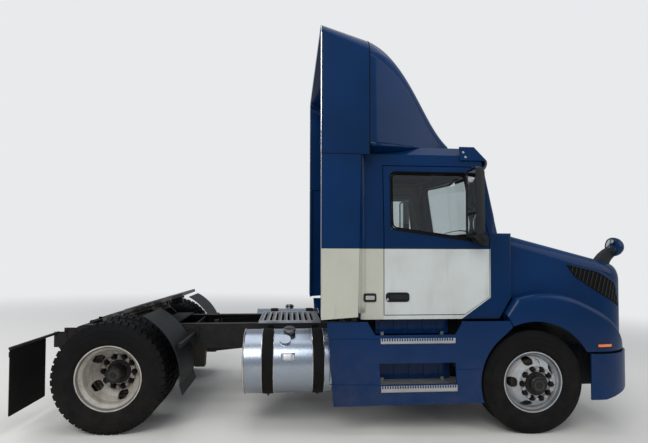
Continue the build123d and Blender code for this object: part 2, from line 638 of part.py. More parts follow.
def fifth_wheel_plate():
    """The coupling plate: dished horns behind, a throat that narrows to the kingpin seat, ribs below."""
    top = PLATE_RISE
    low = top - PLATE_THICK
    plan = Polyline([
        (-PLATE_REAR, -PLATE_HALF + 60), (-PLATE_REAR + 110, -PLATE_HALF),
        (PLATE_FRONT - 90, -PLATE_HALF),
        (PLATE_FRONT, -PLATE_HALF + 120), (PLATE_FRONT, PLATE_HALF - 120), (PLATE_FRONT - 90, PLATE_HALF),
        (-PLATE_REAR + 110, PLATE_HALF), (-PLATE_REAR, PLATE_HALF - 60),
    ], close=True)
    plate = extrude(make_face(plan), amount=PLATE_THICK)
    throat = make_face(Polyline([
        (-PLATE_REAR - 20, -200), (-PLATE_REAR - 20, 200), (-90, KINGPIN_SEAT_RADIUS),
        (0, KINGPIN_SEAT_RADIUS), (0, -KINGPIN_SEAT_RADIUS), (-90, -KINGPIN_SEAT_RADIUS),
    ], close=True))
    plate = plate - Pos(0, 0, -5) * extrude(throat, amount=PLATE_THICK + 10)
    plate = plate - Cylinder(KINGPIN_SEAT_RADIUS, 3 * PLATE_THICK)
    plate = Pos(0, 0, low) * plate
    for side in (1, -1):
        rib = box((-230, 230), (side * 300, side * 322), (-36, low + 2))
        cheek = box((-230, 230), (side * 400, side * 422), (10, low + 2))
        bore = Pos(0, side * 310, 0) * Rot(90, 0, 0) * Cylinder(22.4, 60)
        horn = box((-PLATE_REAR - 40, -PLATE_REAR + 60), (side * 210, side * 360), (low - 22, top - 14))
        plate = plate + (rib - bore) + cheek + horn
    lock = box((-60, 150), (-120, -KINGPIN_SEAT_RADIUS - 8), (low - 40, low + 2))
    plate = plate + lock + mirrored(lock)
    return Pos(PLATE_PIVOT_X, 0, PLATE_PIVOT_Z) * Rot(0, -PLATE_TILT, 0) * plate


def rear_fenders():
    """A quarter fender ahead of each drive wheel, with the tube that carries it from the rail."""
    x0, z0 = levelled(0, TYRE_RADIUS)

    def around(radius, angle):
        return x0 + radius * math.cos(math.radians(angle)), z0 + radius * math.sin(math.radians(angle))

    near, far = FENDER_ARC, FENDER_ARC + FENDER_SKIN
    foot_x, foot_z = around(near, FENDER_LOW_ANGLE)
    with BuildSketch(Plane.XZ) as outline:
        with BuildLine():
            ThreePointArc(around(near, FENDER_HIGH_ANGLE), around(near, 28), (foot_x, foot_z))
            Line((foot_x, foot_z), (foot_x + 26, foot_z - 90))
            Line((foot_x + 26, foot_z - 90), (foot_x + 26 + FENDER_SKIN, foot_z - 90))
            Line((foot_x + 26 + FENDER_SKIN, foot_z - 90), around(far, FENDER_LOW_ANGLE))
            ThreePointArc(around(far, FENDER_LOW_ANGLE), around(far, 28), around(far, FENDER_HIGH_ANGLE))
            Line(around(far, FENDER_HIGH_ANGLE), around(near, FENDER_HIGH_ANGLE))
        make_face()
    width = FENDER_OUTER_Y - FENDER_INNER_Y
    fender = Pos(0, FENDER_OUTER_Y, 0) * extrude(outline.sketch, amount=width, dir=(0, -1, 0))
    tube_x, tube_z = around(far + 22, 24)
    tube = bar_between((tube_x, RAIL_OUTER_Y + SEAT_FIT, tube_z), (tube_x, FENDER_OUTER_Y - 90, tube_z),
                       24)
    foot = box((tube_x - 44, tube_x + 44), (RAIL_OUTER_Y + SEAT_FIT, RAIL_OUTER_Y + 14),
               (tube_z - 60, tube_z + 60))
    return pair(fender + tube + foot)


def flap_hangers():
    """The bars behind the drive wheels that the mud flaps hang from."""
    z = FLAP_TOP + FLAP_BAR_RISE
    bar = bar_between((FLAP_X, RAIL_OUTER_Y - 40, z), (FLAP_X, FLAP_OUTER_Y, z), 14)
    arm = box((FLAP_X - FLAP_ARM_END, RAIL_REAR_X + 60), (RAIL_OUTER_Y + SEAT_FIT, RAIL_OUTER_Y + 12),
              (RAIL_TOP - 230, z + 16))
    return pair(bar + arm)


def mud_flaps():
    """The rubber flaps behind the drive wheels."""
    flap = box((FLAP_X - FLAP_THICK / 2, FLAP_X + FLAP_THICK / 2), (FLAP_INNER_Y, FLAP_OUTER_Y),
               (FLAP_BOTTOM, FLAP_TOP - 2 - SEAT_FIT))
    return pair(flap)


def tail_lamps():
    """The lamp bar across the rail ends with a round lamp at each side."""
    low = RAIL_TOP - RAIL_HEIGHT + 16
    bar = box((RAIL_REAR_X - 30, RAIL_REAR_X - SEAT_FIT), (-RAIL_OUTER_Y + 10, RAIL_OUTER_Y - 10),
              (low, low + 110))
    for side in (1, -1):
        for y in (250, 350):
            lamp = Pos(RAIL_REAR_X - 36, side * y, low + 55) * Rot(0, 90, 0) * Cylinder(42, 16)
            bar = bar + lamp
    return bar


# Cab

def cab_plan(z, half, pillar_x, screen_x, rear_x):
    """A plan of the cab at one height: straight back and sides, and the bowed front."""
    with BuildSketch(Plane.XY.offset(z)) as plan:
        with BuildLine():
            Line((rear_x, -half), (pillar_x, -half))
            ThreePointArc((pillar_x, -half), (screen_x, 0), (pillar_x, half))
            Line((pillar_x, half), (rear_x, half))
            Line((rear_x, half), (rear_x, -half))
        make_face()
    return plan.sketch


def cab_form(inset):
    """The cab's outer form, or with an inset the space inside its walls."""
    half = CAB_HALF - inset
    rear = CAB_REAR_X + inset
    body = box((rear, FIREWALL_X - inset), (-half, half), (CAB_FLOOR + inset, BELT_Z))
    toe = [(WHEELBASE - 350, CAB_FLOOR - 10), (FIREWALL_X, 1212), (FIREWALL_X + 10, 1212),
           (FIREWALL_X + 10, CAB_FLOOR - 10)]
    body = body - side_prism([(x - inset, z + inset * 0.6) for x, z in toe], -half - 1, half + 1)
    belt = cab_plan(BELT_Z, half, PILLAR_X_BELT - inset, SCREEN_X_BELT - inset, rear)
    eaves = cab_plan(EAVES_Z, EAVES_HALF - inset, PILLAR_X_EAVES - inset, SCREEN_X_EAVES - inset, rear)
    roof = cab_plan(ROOF_Z - inset * 0.6, ROOF_HALF - inset, PILLAR_X_EAVES - ROOF_INSET - inset,
                    SCREEN_X_EAVES - ROOF_INSET - inset, rear)
    return body + loft([belt, eaves], ruled=True) + loft([eaves, roof], ruled=True)


def screen_form(inset):
    """The space behind the windshield's surface, for cutting a sheet that follows the bowed front."""
    belt = cab_plan(BELT_Z, CAB_HALF, PILLAR_X_BELT - inset, SCREEN_X_BELT - inset, WHEELBASE - 1400)
    eaves = cab_plan(EAVES_Z, EAVES_HALF, PILLAR_X_EAVES - inset, SCREEN_X_EAVES - inset,
                     WHEELBASE - 1400)
    return loft([belt, eaves], ruled=True)


def screen_outline(gap):
    """The windshield opening seen from the front, as a prism along X."""
    low, high = BELT_Z + 45 + gap, EAVES_Z - 45 - gap
    half_low, half_high = CAB_HALF - 145 - gap, CAB_HALF - 205 - gap
    points = [(-half_low, low), (half_low, low), (half_high, high), (-half_high, high)]
    outline = make_face(Polyline([(WHEELBASE - 670, y, z) for y, z in points], close=True))
    return extrude(outline, amount=700, dir=(1, 0, 0))


def back_window(gap, depth):
    """The back window's opening through the cab's rear wall."""
    return box((CAB_REAR_X + depth, CAB_REAR_X + CAB_WALL - depth), (gap - 620, 620 - gap),
               (1880 + gap, 2430 - gap))


def door_outline(gap):
    """The door's outline from the side, drawn in by a gap."""
    return [
        (DOOR_REAR_X + gap, DOOR_BOTTOM + gap), (DOOR_CORNER_X, DOOR_BOTTOM + gap),
        (DOOR_FRONT_X - gap, DOOR_CORNER_Z), (DOOR_FRONT_X - gap, BELT_Z - 60),
        (DOOR_TOP_FRONT_X - gap, DOOR_TOP - gap), (DOOR_REAR_X + gap, DOOR_TOP - gap),
    ]


def window_outline():
    """The door window's outline from the side."""
    return [(WHEELBASE - 1412, 1872), (WHEELBASE - 548, 1752), (WHEELBASE - 648, 2432),
            (WHEELBASE - 1412, 2432)]


def cab_shell(outer, inner):
    """The cab's walls, floor and roof with its door openings and its windows cut."""
    shell = outer - inner
    side = CAB_HALF - CAB_WALL - 60
    right = side_prism(door_outline(0), -CAB_HALF - 20, -side)
    left = side_prism(door_outline(0), side, CAB_HALF + 20)
    return shell - right - left - screen_outline(0) - back_window(0, -10)


def cab_glass():
    """Windshield and back window, bedded in the shell's openings."""
    front = (screen_form(14) - screen_form(14 + GLASS)) & screen_outline(SEAT_FIT)
    return Compound([*front.solids(), *back_window(SEAT_FIT, 26).solids()])


def door(outer, inner):
    """The left door, cut from the same form as the cab's side, with its window open."""
    low = CAB_HALF - CAB_WALL - 60
    leaf = (outer - inner) & side_prism(door_outline(SEAM), low, CAB_HALF + 20)
    return leaf - side_prism(window_outline(), low - 20, CAB_HALF + 40)


def door_glass():
    """The left door's window pane."""
    pane = cab_form(24) - cab_form(24 + GLASS)
    outline = side_prism(window_outline(), CAB_HALF - 160, CAB_HALF)
    return pane & outline


def mirror_arm():
    """The left mirror head on its two arms from the front of the door."""
    head = box((WHEELBASE - 704, WHEELBASE - 616), (CAB_HALF + 60, CAB_HALF + 310), (1790, 2436))
    head = fillet(head.edges().filter_by(Axis.Z), 32)
    top = bar_between((WHEELBASE - 628, CAB_HALF - 27, 2400), (WHEELBASE - 660, CAB_HALF + 120, 2400), 14)
    base = box((WHEELBASE - 580, WHEELBASE - 460), (CAB_HALF + SEAT_FIT, CAB_HALF + 26), (1650, 1770))
    stalk = bar_between((WHEELBASE - 520, CAB_HALF + 40, 1720), (WHEELBASE - 660, CAB_HALF + 160, 1796),
                        26)
    return head + top + base + stalk


def dashboard():
    """The fascia across the cab with the binnacle and the steering column."""
    points = [
        (WHEELBASE - 600, 1480), (WHEELBASE - 580, 1700), (WHEELBASE - 480, 1790),
        (WHEELBASE - 300, 1800), (FIREWALL_X - CAB_WALL - SEAT_FIT, 1800),
        (FIREWALL_X - CAB_WALL - SEAT_FIT, 1300), (WHEELBASE - 440, 1300),
    ]
    half = CAB_HALF - CAB_WALL - 12
    fascia = side_prism(points, -half, half)
    hood = side_prism([(WHEELBASE - 620, 1690), (WHEELBASE - 600, 1800), (WHEELBASE - 480, 1830),
                       (WHEELBASE - 440, 1760)], 300, 720)
    column = bar_between((WHEELBASE - 500, 510, 1440), COLUMN_TOP, 38)
    return fascia + hood + column


def steering_wheel():
    """The four-spoked steering wheel with its boss."""
    plane = Plane(origin=COLUMN_TOP, z_dir=WHEEL_AXIS)
    rim_ring = Torus(STEERING_RADIUS, 15)
    boss = Pos(0, 0, 8) * Cylinder(70, 44)
    wheel = rim_ring + boss
    for angle in (10, 170, 215, 325):
        wheel = wheel + Rot(0, 0, angle) * Pos(STEERING_RADIUS / 2 + 14, 0, 4) * Box(STEERING_RADIUS - 40,
                                                                                     34, 16)
    return plane.location * Pos(0, 0, 14 + SEAT_FIT) * wheel


def seats():
    """The two seats on their pedestals."""
    parts = []
    for y in (-510, 510):
        cushion = box((WHEELBASE - 1440, WHEELBASE - 920), (y - 250, y + 250), (1420, 1560))
        cushion = fillet(cushion.edges().filter_by(Axis.X), 40)
        back = side_prism([(WHEELBASE - 1440, 1500), (WHEELBASE - 1300, 1560), (WHEELBASE - 1390, 2240),
                           (WHEELBASE - 1510, 2240)], y - 235, y + 235)
        back = fillet(back.edges().filter_by(Axis.Y), 30)
        head = box((WHEELBASE - 1522, WHEELBASE - 1420), (y - 130, y + 130), (2250, 2400))
        post = box((WHEELBASE - 1500, WHEELBASE - 1440), (y - 60, y + 60), (2200, 2300))
        pedestal = box((WHEELBASE - 1380, WHEELBASE - 1000), (y - 190, y + 190),
                       (CAB_FLOOR + CAB_WALL + SEAT_FIT, 1425))
        parts.append(cushion + back + head + post + pedestal)
    return Compound([solid for part in parts for solid in part.solids()])


# Roof fairing, extenders and visor

def arch_section(x, half, top, shoulder, low):
    """An upright section across the truck: flat foot, straight sides and rounded shoulders."""
    drop = shoulder * (1 - math.sin(math.radians(45)))
    with BuildSketch(Plane.YZ.offset(x)) as section:
        with BuildLine():
            Line((-half, low), (half, low))
            Line((half, low), (half, top - shoulder))
            ThreePointArc((half, top - shoulder), (half - drop, top - drop), (half - shoulder, top))
            Line((half - shoulder, top), (shoulder - half, top))
            ThreePointArc((shoulder - half, top), (drop - half, top - drop), (-half, top - shoulder))
            Line((-half, top - shoulder), (-half, low))
        make_face()
    return section.sketch


# station x, half width, top, shoulder radius
FAIRING_STATIONS = [
    (WHEELBASE - 1640, 1205, 3735, 200),
    (WHEELBASE - 1400, 1130, 3640, 260),
    (WHEELBASE - 1140, 1010, 3360, 250),
    (WHEELBASE - 910, 870, 3020, 170),
    (WHEELBASE - 710, 740, 2790, 50),
]


def fairing_nose(inset, extra):
    """The rounded front of the roof fairing as one loft, drawn in by an inset."""
    low = ROOF_Z + SEAT_FIT - extra
    sections = []
    for x, half, top, shoulder in FAIRING_STATIONS:
        height = max(top - inset, low + 20)
        sections.append(arch_section(x - inset * 0.8, half - inset, height, max(shoulder - inset, 8),
                                     low))
    return loft(sections)


def roof_fairing():
    """The hollow roof fairing: a rounded nose and a long top that runs back to the gap."""
    nose = fairing_nose(0, 0) - fairing_nose(FAIRING_SKIN, 30)
    rear_outer = loft([arch_section(FAIRING_REAR_X, 1205, 3852, 130, EXTENDER_SPLIT + 4),
                       arch_section(WHEELBASE - 1640, 1205, 3735, 200, EXTENDER_SPLIT + 4)], ruled=True)
    rear_inner = loft([arch_section(FAIRING_REAR_X, 1205 - EXTENDER_SKIN, 3852 - EXTENDER_SKIN, 106,
                                    2400),
                       arch_section(WHEELBASE - 1640, 1205 - EXTENDER_SKIN, 3735 - EXTENDER_SKIN, 176,
                                    2400)], ruled=True)
    rear = rear_outer - rear_inner
    rear = rear - box((WHEELBASE - 2200, WHEELBASE - 1500), (-1300, 1300), (2400, EXTENDER_SPLIT + 3))
    return nose, rear


def side_extenders():
    """The panels beside the gap behind the cab, below the fairing."""
    points = [
        (FAIRING_REAR_X, EXTENDER_BOTTOM), (WHEELBASE - 1755, EXTENDER_BOTTOM + 24),
        (WHEELBASE - 1732, 2250), (WHEELBASE - 1726, EXTENDER_SPLIT - 4),
        (FAIRING_REAR_X, EXTENDER_SPLIT - 4),
    ]
    panel = side_prism(points, EXTENDER_HALF - EXTENDER_SKIN, EXTENDER_HALF)
    lip = side_prism([(FAIRING_REAR_X, EXTENDER_BOTTOM), (FAIRING_REAR_X + 24, EXTENDER_BOTTOM),
                      (FAIRING_REAR_X + 24, EXTENDER_SPLIT - 4), (FAIRING_REAR_X, EXTENDER_SPLIT - 4)],
                     EXTENDER_HALF - 70, EXTENDER_HALF - EXTENDER_SKIN)
    panel = panel + lip
    for z in (1180, 1760, 2400):
        strut = box((WHEELBASE - 1754, CAB_REAR_X - SEAT_FIT), (1040, 1070), (z, z + 40))
        arm = box((WHEELBASE - 1800, WHEELBASE - 1750), (1040, EXTENDER_HALF - EXTENDER_SKIN + 2),
                  (z, z + 40))
        panel = panel + strut + arm
    return pair(panel)


def sun_visor():
    """The visor over the windshield on its brackets."""
    outer_low = cab_plan(2560, 1085, WHEELBASE - 440, WHEELBASE - 170, WHEELBASE - 820)
    outer_high = cab_plan(2700, 1060, WHEELBASE - 560, WHEELBASE - 300, WHEELBASE - 820)
    inner_low = cab_plan(2560, 1073, WHEELBASE - 452, WHEELBASE - 182, WHEELBASE - 900)
    inner_high = cab_plan(2700, 1048, WHEELBASE - 572, WHEELBASE - 312, WHEELBASE - 900)
    shade = loft([outer_low, outer_high], ruled=True) - loft([inner_low, inner_high], ruled=True)
    shade = shade - box((WHEELBASE - 1100, WHEELBASE - 710), (-1300, 1300), (2500, 2800))
    outside = cab_form(-SEAT_FIT)
    within = loft([outer_low, outer_high], ruled=True)
    for y in (-700, 0, 700):
        bracket = box((WHEELBASE - 420, WHEELBASE - 150), (y - 16, y + 16), (2572, 2592))
        shade = shade + ((bracket - outside) & within)
    return shade


# Hood, bumper and skirts

def nose_plan(z, rear_x, front_x, half, corner, bow):
    """A plan of the truck's front at one height: straight sides, round corners and a bowed nose."""
    bend = corner * (1 - math.sin(math.radians(45)))
    with BuildSketch(Plane.XY.offset(z)) as plan:
        with BuildLine():
            Line((rear_x, -half), (front_x - corner, -half))
            ThreePointArc((front_x - corner, -half), (front_x - bend, bend - half),
                          (front_x, corner - half))
            ThreePointArc((front_x, corner - half), (front_x + bow, 0), (front_x, half - corner))
            ThreePointArc((front_x, half - corner), (front_x - bend, half - bend),
                          (front_x - corner, half))
            Line((front_x - corner, half), (rear_x, half))
            Line((rear_x, half), (rear_x, -half))
        make_face()
    return plan.sketch


def nose_block(low, high, rear_x, front_x, half, corner, bow):
    """The same plan raised from one height to another."""
    return extrude(nose_plan(low, rear_x, front_x, half, corner, bow), amount=high - low, dir=(0, 0, 1))


def hood_section(x, inset, low):
    """The hood's upright section at one station: it narrows round the corner and drops over the brow."""
    fall = (HOOD_TOP_REAR - HOOD_TOP_FRONT) / (HOOD_FRONT_X - HOOD_REAR_X)
    corner_x = HOOD_FRONT_X - HOOD_CORNER
    brow_x = HOOD_FRONT_X - HOOD_BROW
    half = HOOD_HALF - HOOD_CORNER + math.sqrt(HOOD_CORNER ** 2 - max(x - corner_x, 0) ** 2)
    top = HOOD_TOP_REAR - fall * (min(x, brow_x) - HOOD_REAR_X)
    if x > brow_x:
        top += math.sqrt(HOOD_BROW ** 2 - (x - brow_x) ** 2) - HOOD_BROW
    place = x - inset if x > corner_x else x
    return arch_section(place, half - inset, top - inset, HOOD_ROUND - inset, low)


def hood_form(inset, low_extra):
    """The hood's outer form, or with an inset the space inside its skin."""
    low = HOOD_BOTTOM - low_extra
    start = HOOD_FRONT_X - HOOD_CORNER
    straight = [hood_section(x, inset, low) for x in (HOOD_REAR_X - 60 - low_extra * 0.6, start)]
    nose = [hood_section(start + HOOD_CORNER * share, inset, low) for share in HOOD_NOSE_SHARES]
    nose[0] = hood_section(start, inset, low)
    return loft(straight, ruled=True) + loft(nose)


def fender_form(inset):
    """The left wheel fender's outer form: a rounded shelf over the tyre that falls to the nose."""
    foot = WHEELBASE + 1060
    with BuildSketch(Plane.XZ) as outline:
        with BuildLine():
            Line((HOOD_REAR_X - 36 + inset, 600), (HOOD_REAR_X - 36 + inset, 930))
            Line((HOOD_REAR_X - 36 + inset, 930), (HOOD_REAR_X - 98 + inset, 1052 - inset))
            Line((HOOD_REAR_X - 98 + inset, 1052 - inset), (HOOD_REAR_X + inset * 0.5, 1200 - inset))
            ThreePointArc((HOOD_REAR_X + inset * 0.5, 1200 - inset), (WHEELBASE + 180, 1246 - inset),
                          (WHEELBASE + 520, 1146 - inset))
            ThreePointArc((WHEELBASE + 520, 1146 - inset), (WHEELBASE + 830, 945 - inset),
                          (foot, 672 - inset))
            Line((foot, 672 - inset), (foot, 600))
            Line((foot, 600), (HOOD_REAR_X - 36 + inset, 600))
        make_face()
    block = Pos(0, FENDER_HALF + 10, 0) * extrude(outline.sketch, amount=FENDER_HALF - 690,
                                                  dir=(0, -1, 0))
    plan = nose_block(500, 1400, HOOD_REAR_X - 200, WHEELBASE + 1122 - inset, FENDER_HALF - inset,
                      NOSE_CORNER - inset, HOOD_BOW)
    form = block & plan
    crown = [edge for edge in form.edges()
             if edge.center().Y > 880 and edge.center().Z > 680 and edge.bounding_box().size.X > 70]
    return fillet(crown, FENDER_ROUND - inset)


def lamp_zone(gap):
    """The left headlamp's zone on the fender's falling front, between the hood's side and the edge."""
    edge = LAMP_EDGE + gap
    plan = nose_block(700, 1300, WHEELBASE, WHEELBASE + 1122 - edge, FENDER_HALF - edge,
                      NOSE_CORNER - edge, HOOD_BOW)
    left = box((LAMP_REAR_X + gap, BUMPER_FRONT_X), (LAMP_INNER_Y + gap, FENDER_HALF), (690, 1310))
    return (plan & left) - hood_form(-LAMP_SEAM - gap, 0)


def vent_zone(inset, y_low, y_high):
    """The long intake on the hood's left side, drawn in by an inset."""
    middle_x = sum(x for x, z in VENT_OUTLINE) / len(VENT_OUTLINE)
    middle_z = sum(z for x, z in VENT_OUTLINE) / len(VENT_OUTLINE)
    shrink = 1 - inset / 160
    points = [(WHEELBASE + middle_x + (x - middle_x) * shrink, middle_z + (z - middle_z) * shrink)
              for x, z in VENT_OUTLINE]
    return side_prism(points, y_low, y_high)


def hood(cab, outer_hood, inner_hood, outer_fender, inner_fender):
    """The tilting hood: one shell with both fenders; arches, mouth, vents and lamp pockets are open."""
    outer = outer_hood + pair_solid(outer_fender)
    inner = inner_hood + pair_solid(inner_fender)
    shell = outer - inner
    below = box((HOOD_REAR_X - 400, BUMPER_FRONT_X + 200), (-FENDER_HALF - 60, FENDER_HALF + 60),
                (300, HOOD_BOTTOM))
    arch = Pos(ARCH_X, 0, ARCH_Z) * Rot(90, 0, 0) * Cylinder(ARCH_RADIUS, 2 * FENDER_HALF + 40)
    mouth = box((HOOD_FRONT_X - 130, HOOD_FRONT_X + 160), (-MOUTH_HALF, MOUTH_HALF),
                (GRILLE_LOW, GRILLE_HIGH))
    back = box((HOOD_REAR_X - 110, HOOD_REAR_X), (-HOOD_HALF, HOOD_HALF), (1060, 1900))
    shell = shell - below - arch - mouth - back - Pos(HOOD_GAP, 0, -COWL_DROP) * cab
    for cut in (lamp_zone(0), vent_zone(0, HOOD_HALF - 70, HOOD_HALF + 30)):
        shell = shell - cut - mirrored(cut)
    shell = biggest(shell)
    for side in (1, -1):
        y = side * HINGE_ARM_Y
        arm = side_prism([
            (HOOD_HINGE_X - 20, HOOD_HINGE_Z), (HOOD_HINGE_X - 26, GRILLE_LOW - 4),
            (HOOD_FRONT_X, GRILLE_LOW - 4),
            (HOOD_FRONT_X, HOOD_BOTTOM + 2), (HOOD_HINGE_X + 18, HOOD_HINGE_Z),
        ], y - 8, y + 8)
        eye = Pos(HOOD_HINGE_X, y, HOOD_HINGE_Z) * Rot(90, 0, 0) * Cylinder(HINGE_PIN_RADIUS + 10, 16)
        bore = Pos(HOOD_HINGE_X, y, HOOD_HINGE_Z) * Rot(90, 0, 0) * Cylinder(HINGE_PIN_RADIUS + SEAT_FIT,
                                                                             60)
        shell = shell + ((arm + eye) - bore)
    return shell


def biggest(shape):
    """The largest solid of a shape."""
    return max(shape.solids(), key=lambda solid: solid.volume)


def pair_solid(piece):
    """A piece fused with its twin on the other side."""
    return piece + mirrored(piece)


def wheel_liners():
    """The black liners inside the front fenders, curved over each tyre."""
    outer = Pos(ARCH_X, 0, ARCH_Z) * Rot(90, 0, 0) * Cylinder(ARCH_RADIUS + 8, 1200)
    inner = Pos(ARCH_X, 0, ARCH_Z) * Rot(90, 0, 0) * Cylinder(ARCH_RADIUS + 2, 1300)
    band = Pos(0, 920, 0) * Pos(0, 0, 0) * (outer - inner)
    span = box((HOOD_REAR_X + 20, WHEELBASE + 500), (690, FENDER_HALF - HOOD_SKIN - SEAT_FIT),
               (HOOD_BOTTOM + 60, ARCH_Z + ARCH_RADIUS + 40))
    return pair(band & span)


def grille():
    """The grille's frame and its upright and level bars, set in the hood's mouth."""
    x = HOOD_FRONT_X - 26
    half = MOUTH_HALF - 1
    frame = box((x, x + 30), (-half, half), (GRILLE_LOW + 1, GRILLE_HIGH - 1))
    frame = frame - box((x - 5, x + 40), (-half + 39, half - 39), (GRILLE_LOW + 40, GRILLE_HIGH - 40))
    rows = 11
    pitch = (GRILLE_HIGH - GRILLE_LOW - 80) / (rows + 1)
    for step in range(rows):
        z = GRILLE_LOW + 40 + (step + 1) * pitch
        frame = frame + box((x + 4, x + 26), (-half + 37, half - 37), (z - 6, z + 6))
    for y in (-330, -220, -110, 0, 110, 220, 330):
        frame = frame + box((x, x + 8), (y - 5, y + 5), (GRILLE_LOW + 38, GRILLE_HIGH - 38))
    return frame


def hood_vents():
    """The intake grilles in the hood's sides: a frame with slanted slats, sunk below the skin."""
    y_high = HOOD_HALF - 4
    y_low = y_high - 26
    frame = vent_zone(1.5, y_low, y_high) - vent_zone(24, y_low - 5, y_high + 5)
    field = vent_zone(22, y_low + 4, y_high - 8)
    slats = None
    for step in range(9):
        x = WHEELBASE + 480 + step * 62
        slat = side_prism([(x, 1000), (x + 12, 1000), (x + 152, 1560), (x + 140, 1560)], y_low + 4,
                          y_high - 8)
        slats = slat if slats is None else slats + slat
    return pair(biggest(frame + (slats & field)))


def headlamps(outer_fender, inner_fender):
    """The lamp lenses let into the fenders' falling fronts, flush with the paint."""
    return pair(biggest((outer_fender - inner_fender) & lamp_zone(1)))


def front_bumper():
    """The wrapped bumper: its lower edge rises to the middle, with a centre opening and a step slot."""
    front = BUMPER_FRONT_X - HOOD_BOW
    shell = nose_block(BUMPER_BOTTOM, BUMPER_TOP, BUMPER_REAR_X, front, FENDER_HALF, NOSE_CORNER,
                       HOOD_BOW)
    core = nose_block(BUMPER_BOTTOM - 5, BUMPER_TOP + 5, BUMPER_REAR_X - 10, front - BUMPER_SKIN,
                      FENDER_HALF - BUMPER_SKIN, NOSE_CORNER - BUMPER_SKIN, HOOD_BOW)
    shell = shell - core
    low = BUMPER_BOTTOM
    rise = side_prism([
        (BUMPER_REAR_X + 150, low - 10), (BUMPER_REAR_X + 150, low), (front - 190, low + 62),
        (BUMPER_FRONT_X, low + BUMPER_NOSE_RISE), (BUMPER_FRONT_X + 9, low + BUMPER_NOSE_RISE),
        (BUMPER_FRONT_X + 9, low - 10),
    ], -FENDER_HALF - 10, FENDER_HALF + 10)
    mouth = box((front - 150, front + 150), (-420, 420), (BUMPER_BOTTOM + 190, BUMPER_BOTTOM + 250))
    shell = shell - rise - mouth
    low, high = BUMPER_BOTTOM + 262, HOOD_HINGE_Z - 42
    beam = box((front - 116, front - 76), (-760, 760), (low, high))
    for side in (1, -1):
        stay = box((RAIL_FRONT_X + SEAT_FIT, front - 100), (side * 392, side * 424), (low, high))
        foot = box((RAIL_FRONT_X + SEAT_FIT, RAIL_FRONT_X + 14), (side * 350, side * 425),
                   (540, RAIL_TOP - 20))
        link = box((front - 86, front - 6), (side * 500, side * 540), (low, high))
        beam = beam + stay + foot + link
    whole = shell + beam
    for side in (1, -1):
        y = side * HINGE_ARM_Y
        whole = whole - box((front - 86, front + 60), (y - 18, y + 18),
                            (HOOD_HINGE_Z - 40, BUMPER_TOP + 10))
    return whole


def hood_mirrors(outer_hood):
    """The mirrors on the hood's front corners: a painted round-backed shell on a black horn."""
    lower = Plane(origin=(WHEELBASE + 858, 900, 1440), z_dir=(0.35, 0, 1))
    middle = Plane(origin=(WHEELBASE + 890, 902, 1545), z_dir=(0.5, 0, 1))
    upper = Plane(origin=(WHEELBASE + 958, 905, 1650), z_dir=(0.3, 0, 1))
    horn = loft([lower * RectangleRounded(230, 96, 30), middle * RectangleRounded(118, 64, 20),
                 upper * RectangleRounded(74, 52, 16)])
    dome = make_face(Plane.XZ * Polyline([(0, 0), (0, 104), (16, 103), (40, 92), (62, 70), (74, 38),
                                          (78, 0)],
                                         close=True))
    head = Pos(WHEELBASE + 958, 905, 1712) * revolve(dome, axis=Axis.X)
    return pair(biggest((horn + head) - outer_hood))


def side_skirts():
    """The panels below the cab, cut round the wheel, for the first step and for the toe room."""
    lean = SKIRT_LEAN
    arch = [(ARCH_X + SKIRT_ARCH * math.cos(angle), ARCH_Z + SKIRT_ARCH * math.sin(angle))
            for angle in (math.radians(198.5), math.radians(171), math.radians(136))]
    with BuildSketch(Plane.XZ) as outline:
        with BuildLine():
            Line((SKIRT_REAR_X, SKIRT_TOP), (HOOD_REAR_X - 82, SKIRT_TOP))
            Line((HOOD_REAR_X - 82, SKIRT_TOP), (HOOD_REAR_X - 54, 925))
            Line((HOOD_REAR_X - 54, 925), arch[2])
            ThreePointArc(arch[2], arch[1], arch[0])
            Line(arch[0], (SKIRT_REAR_X + lean, SKIRT_BOTTOM))
            Line((SKIRT_REAR_X + lean, SKIRT_BOTTOM), (SKIRT_REAR_X, SKIRT_TOP))
        make_face()
    panel = Pos(0, SKIRT_Y, 0) * extrude(outline.sketch, amount=SKIRT_SKIN, dir=(0, -1, 0))
    rear, front = STEP_REAR_X, STEP_FRONT_X
    toe = side_prism([(rear - 113, 1000), (front + 73, 1000), (front - 10, 862), (rear - 30, 862)],
                     SKIRT_Y - 60, SKIRT_Y + 10)
    low_toe = side_prism([(rear + 4, 600), (front - 10, 600), (front, 400), (rear + 20, 400)],
                         SKIRT_Y - 60, SKIRT_Y + 10)
    panel = panel - toe - low_toe
    back = side_prism([(rear - 150, 968), (front + 110, 968), (front + 40, 420), (rear - 40, 420)],
                      SKIRT_Y - STEP_DEPTH - 62, SKIRT_Y - STEP_DEPTH - 50)
    shelf = box((rear + 20, front - 30), (SKIRT_Y - STEP_DEPTH - 56, SKIRT_Y - SKIRT_SKIN + 1),
                (612, 622))
    for x in STEP_POST_X:
        shelf = shelf - box((x - 8, x + STEP_POST + 8), (STEP_INNER_Y - 8, STEP_INNER_Y + 28), (600, 640))
        back = back - box((x - 8, x + STEP_POST + 8),
                          (SKIRT_Y - STEP_DEPTH - 70, SKIRT_Y - STEP_DEPTH - 40),
                          (STEP_ARM_Z[0] - 8, STEP_ARM_Z[1] + 8))
    panel = panel + shelf + back
    for x in (SKIRT_REAR_X + 145, front + 160):
        strap = box((x, x + 40), (RAIL_OUTER_Y + SEAT_FIT, SKIRT_Y - SKIRT_SKIN + 1), (760, 800))
        hang = box((x, x + 40), (RAIL_OUTER_Y + SEAT_FIT, RAIL_OUTER_Y + 12), (700, 850))
        panel = panel + strap + hang
    return pair(panel)


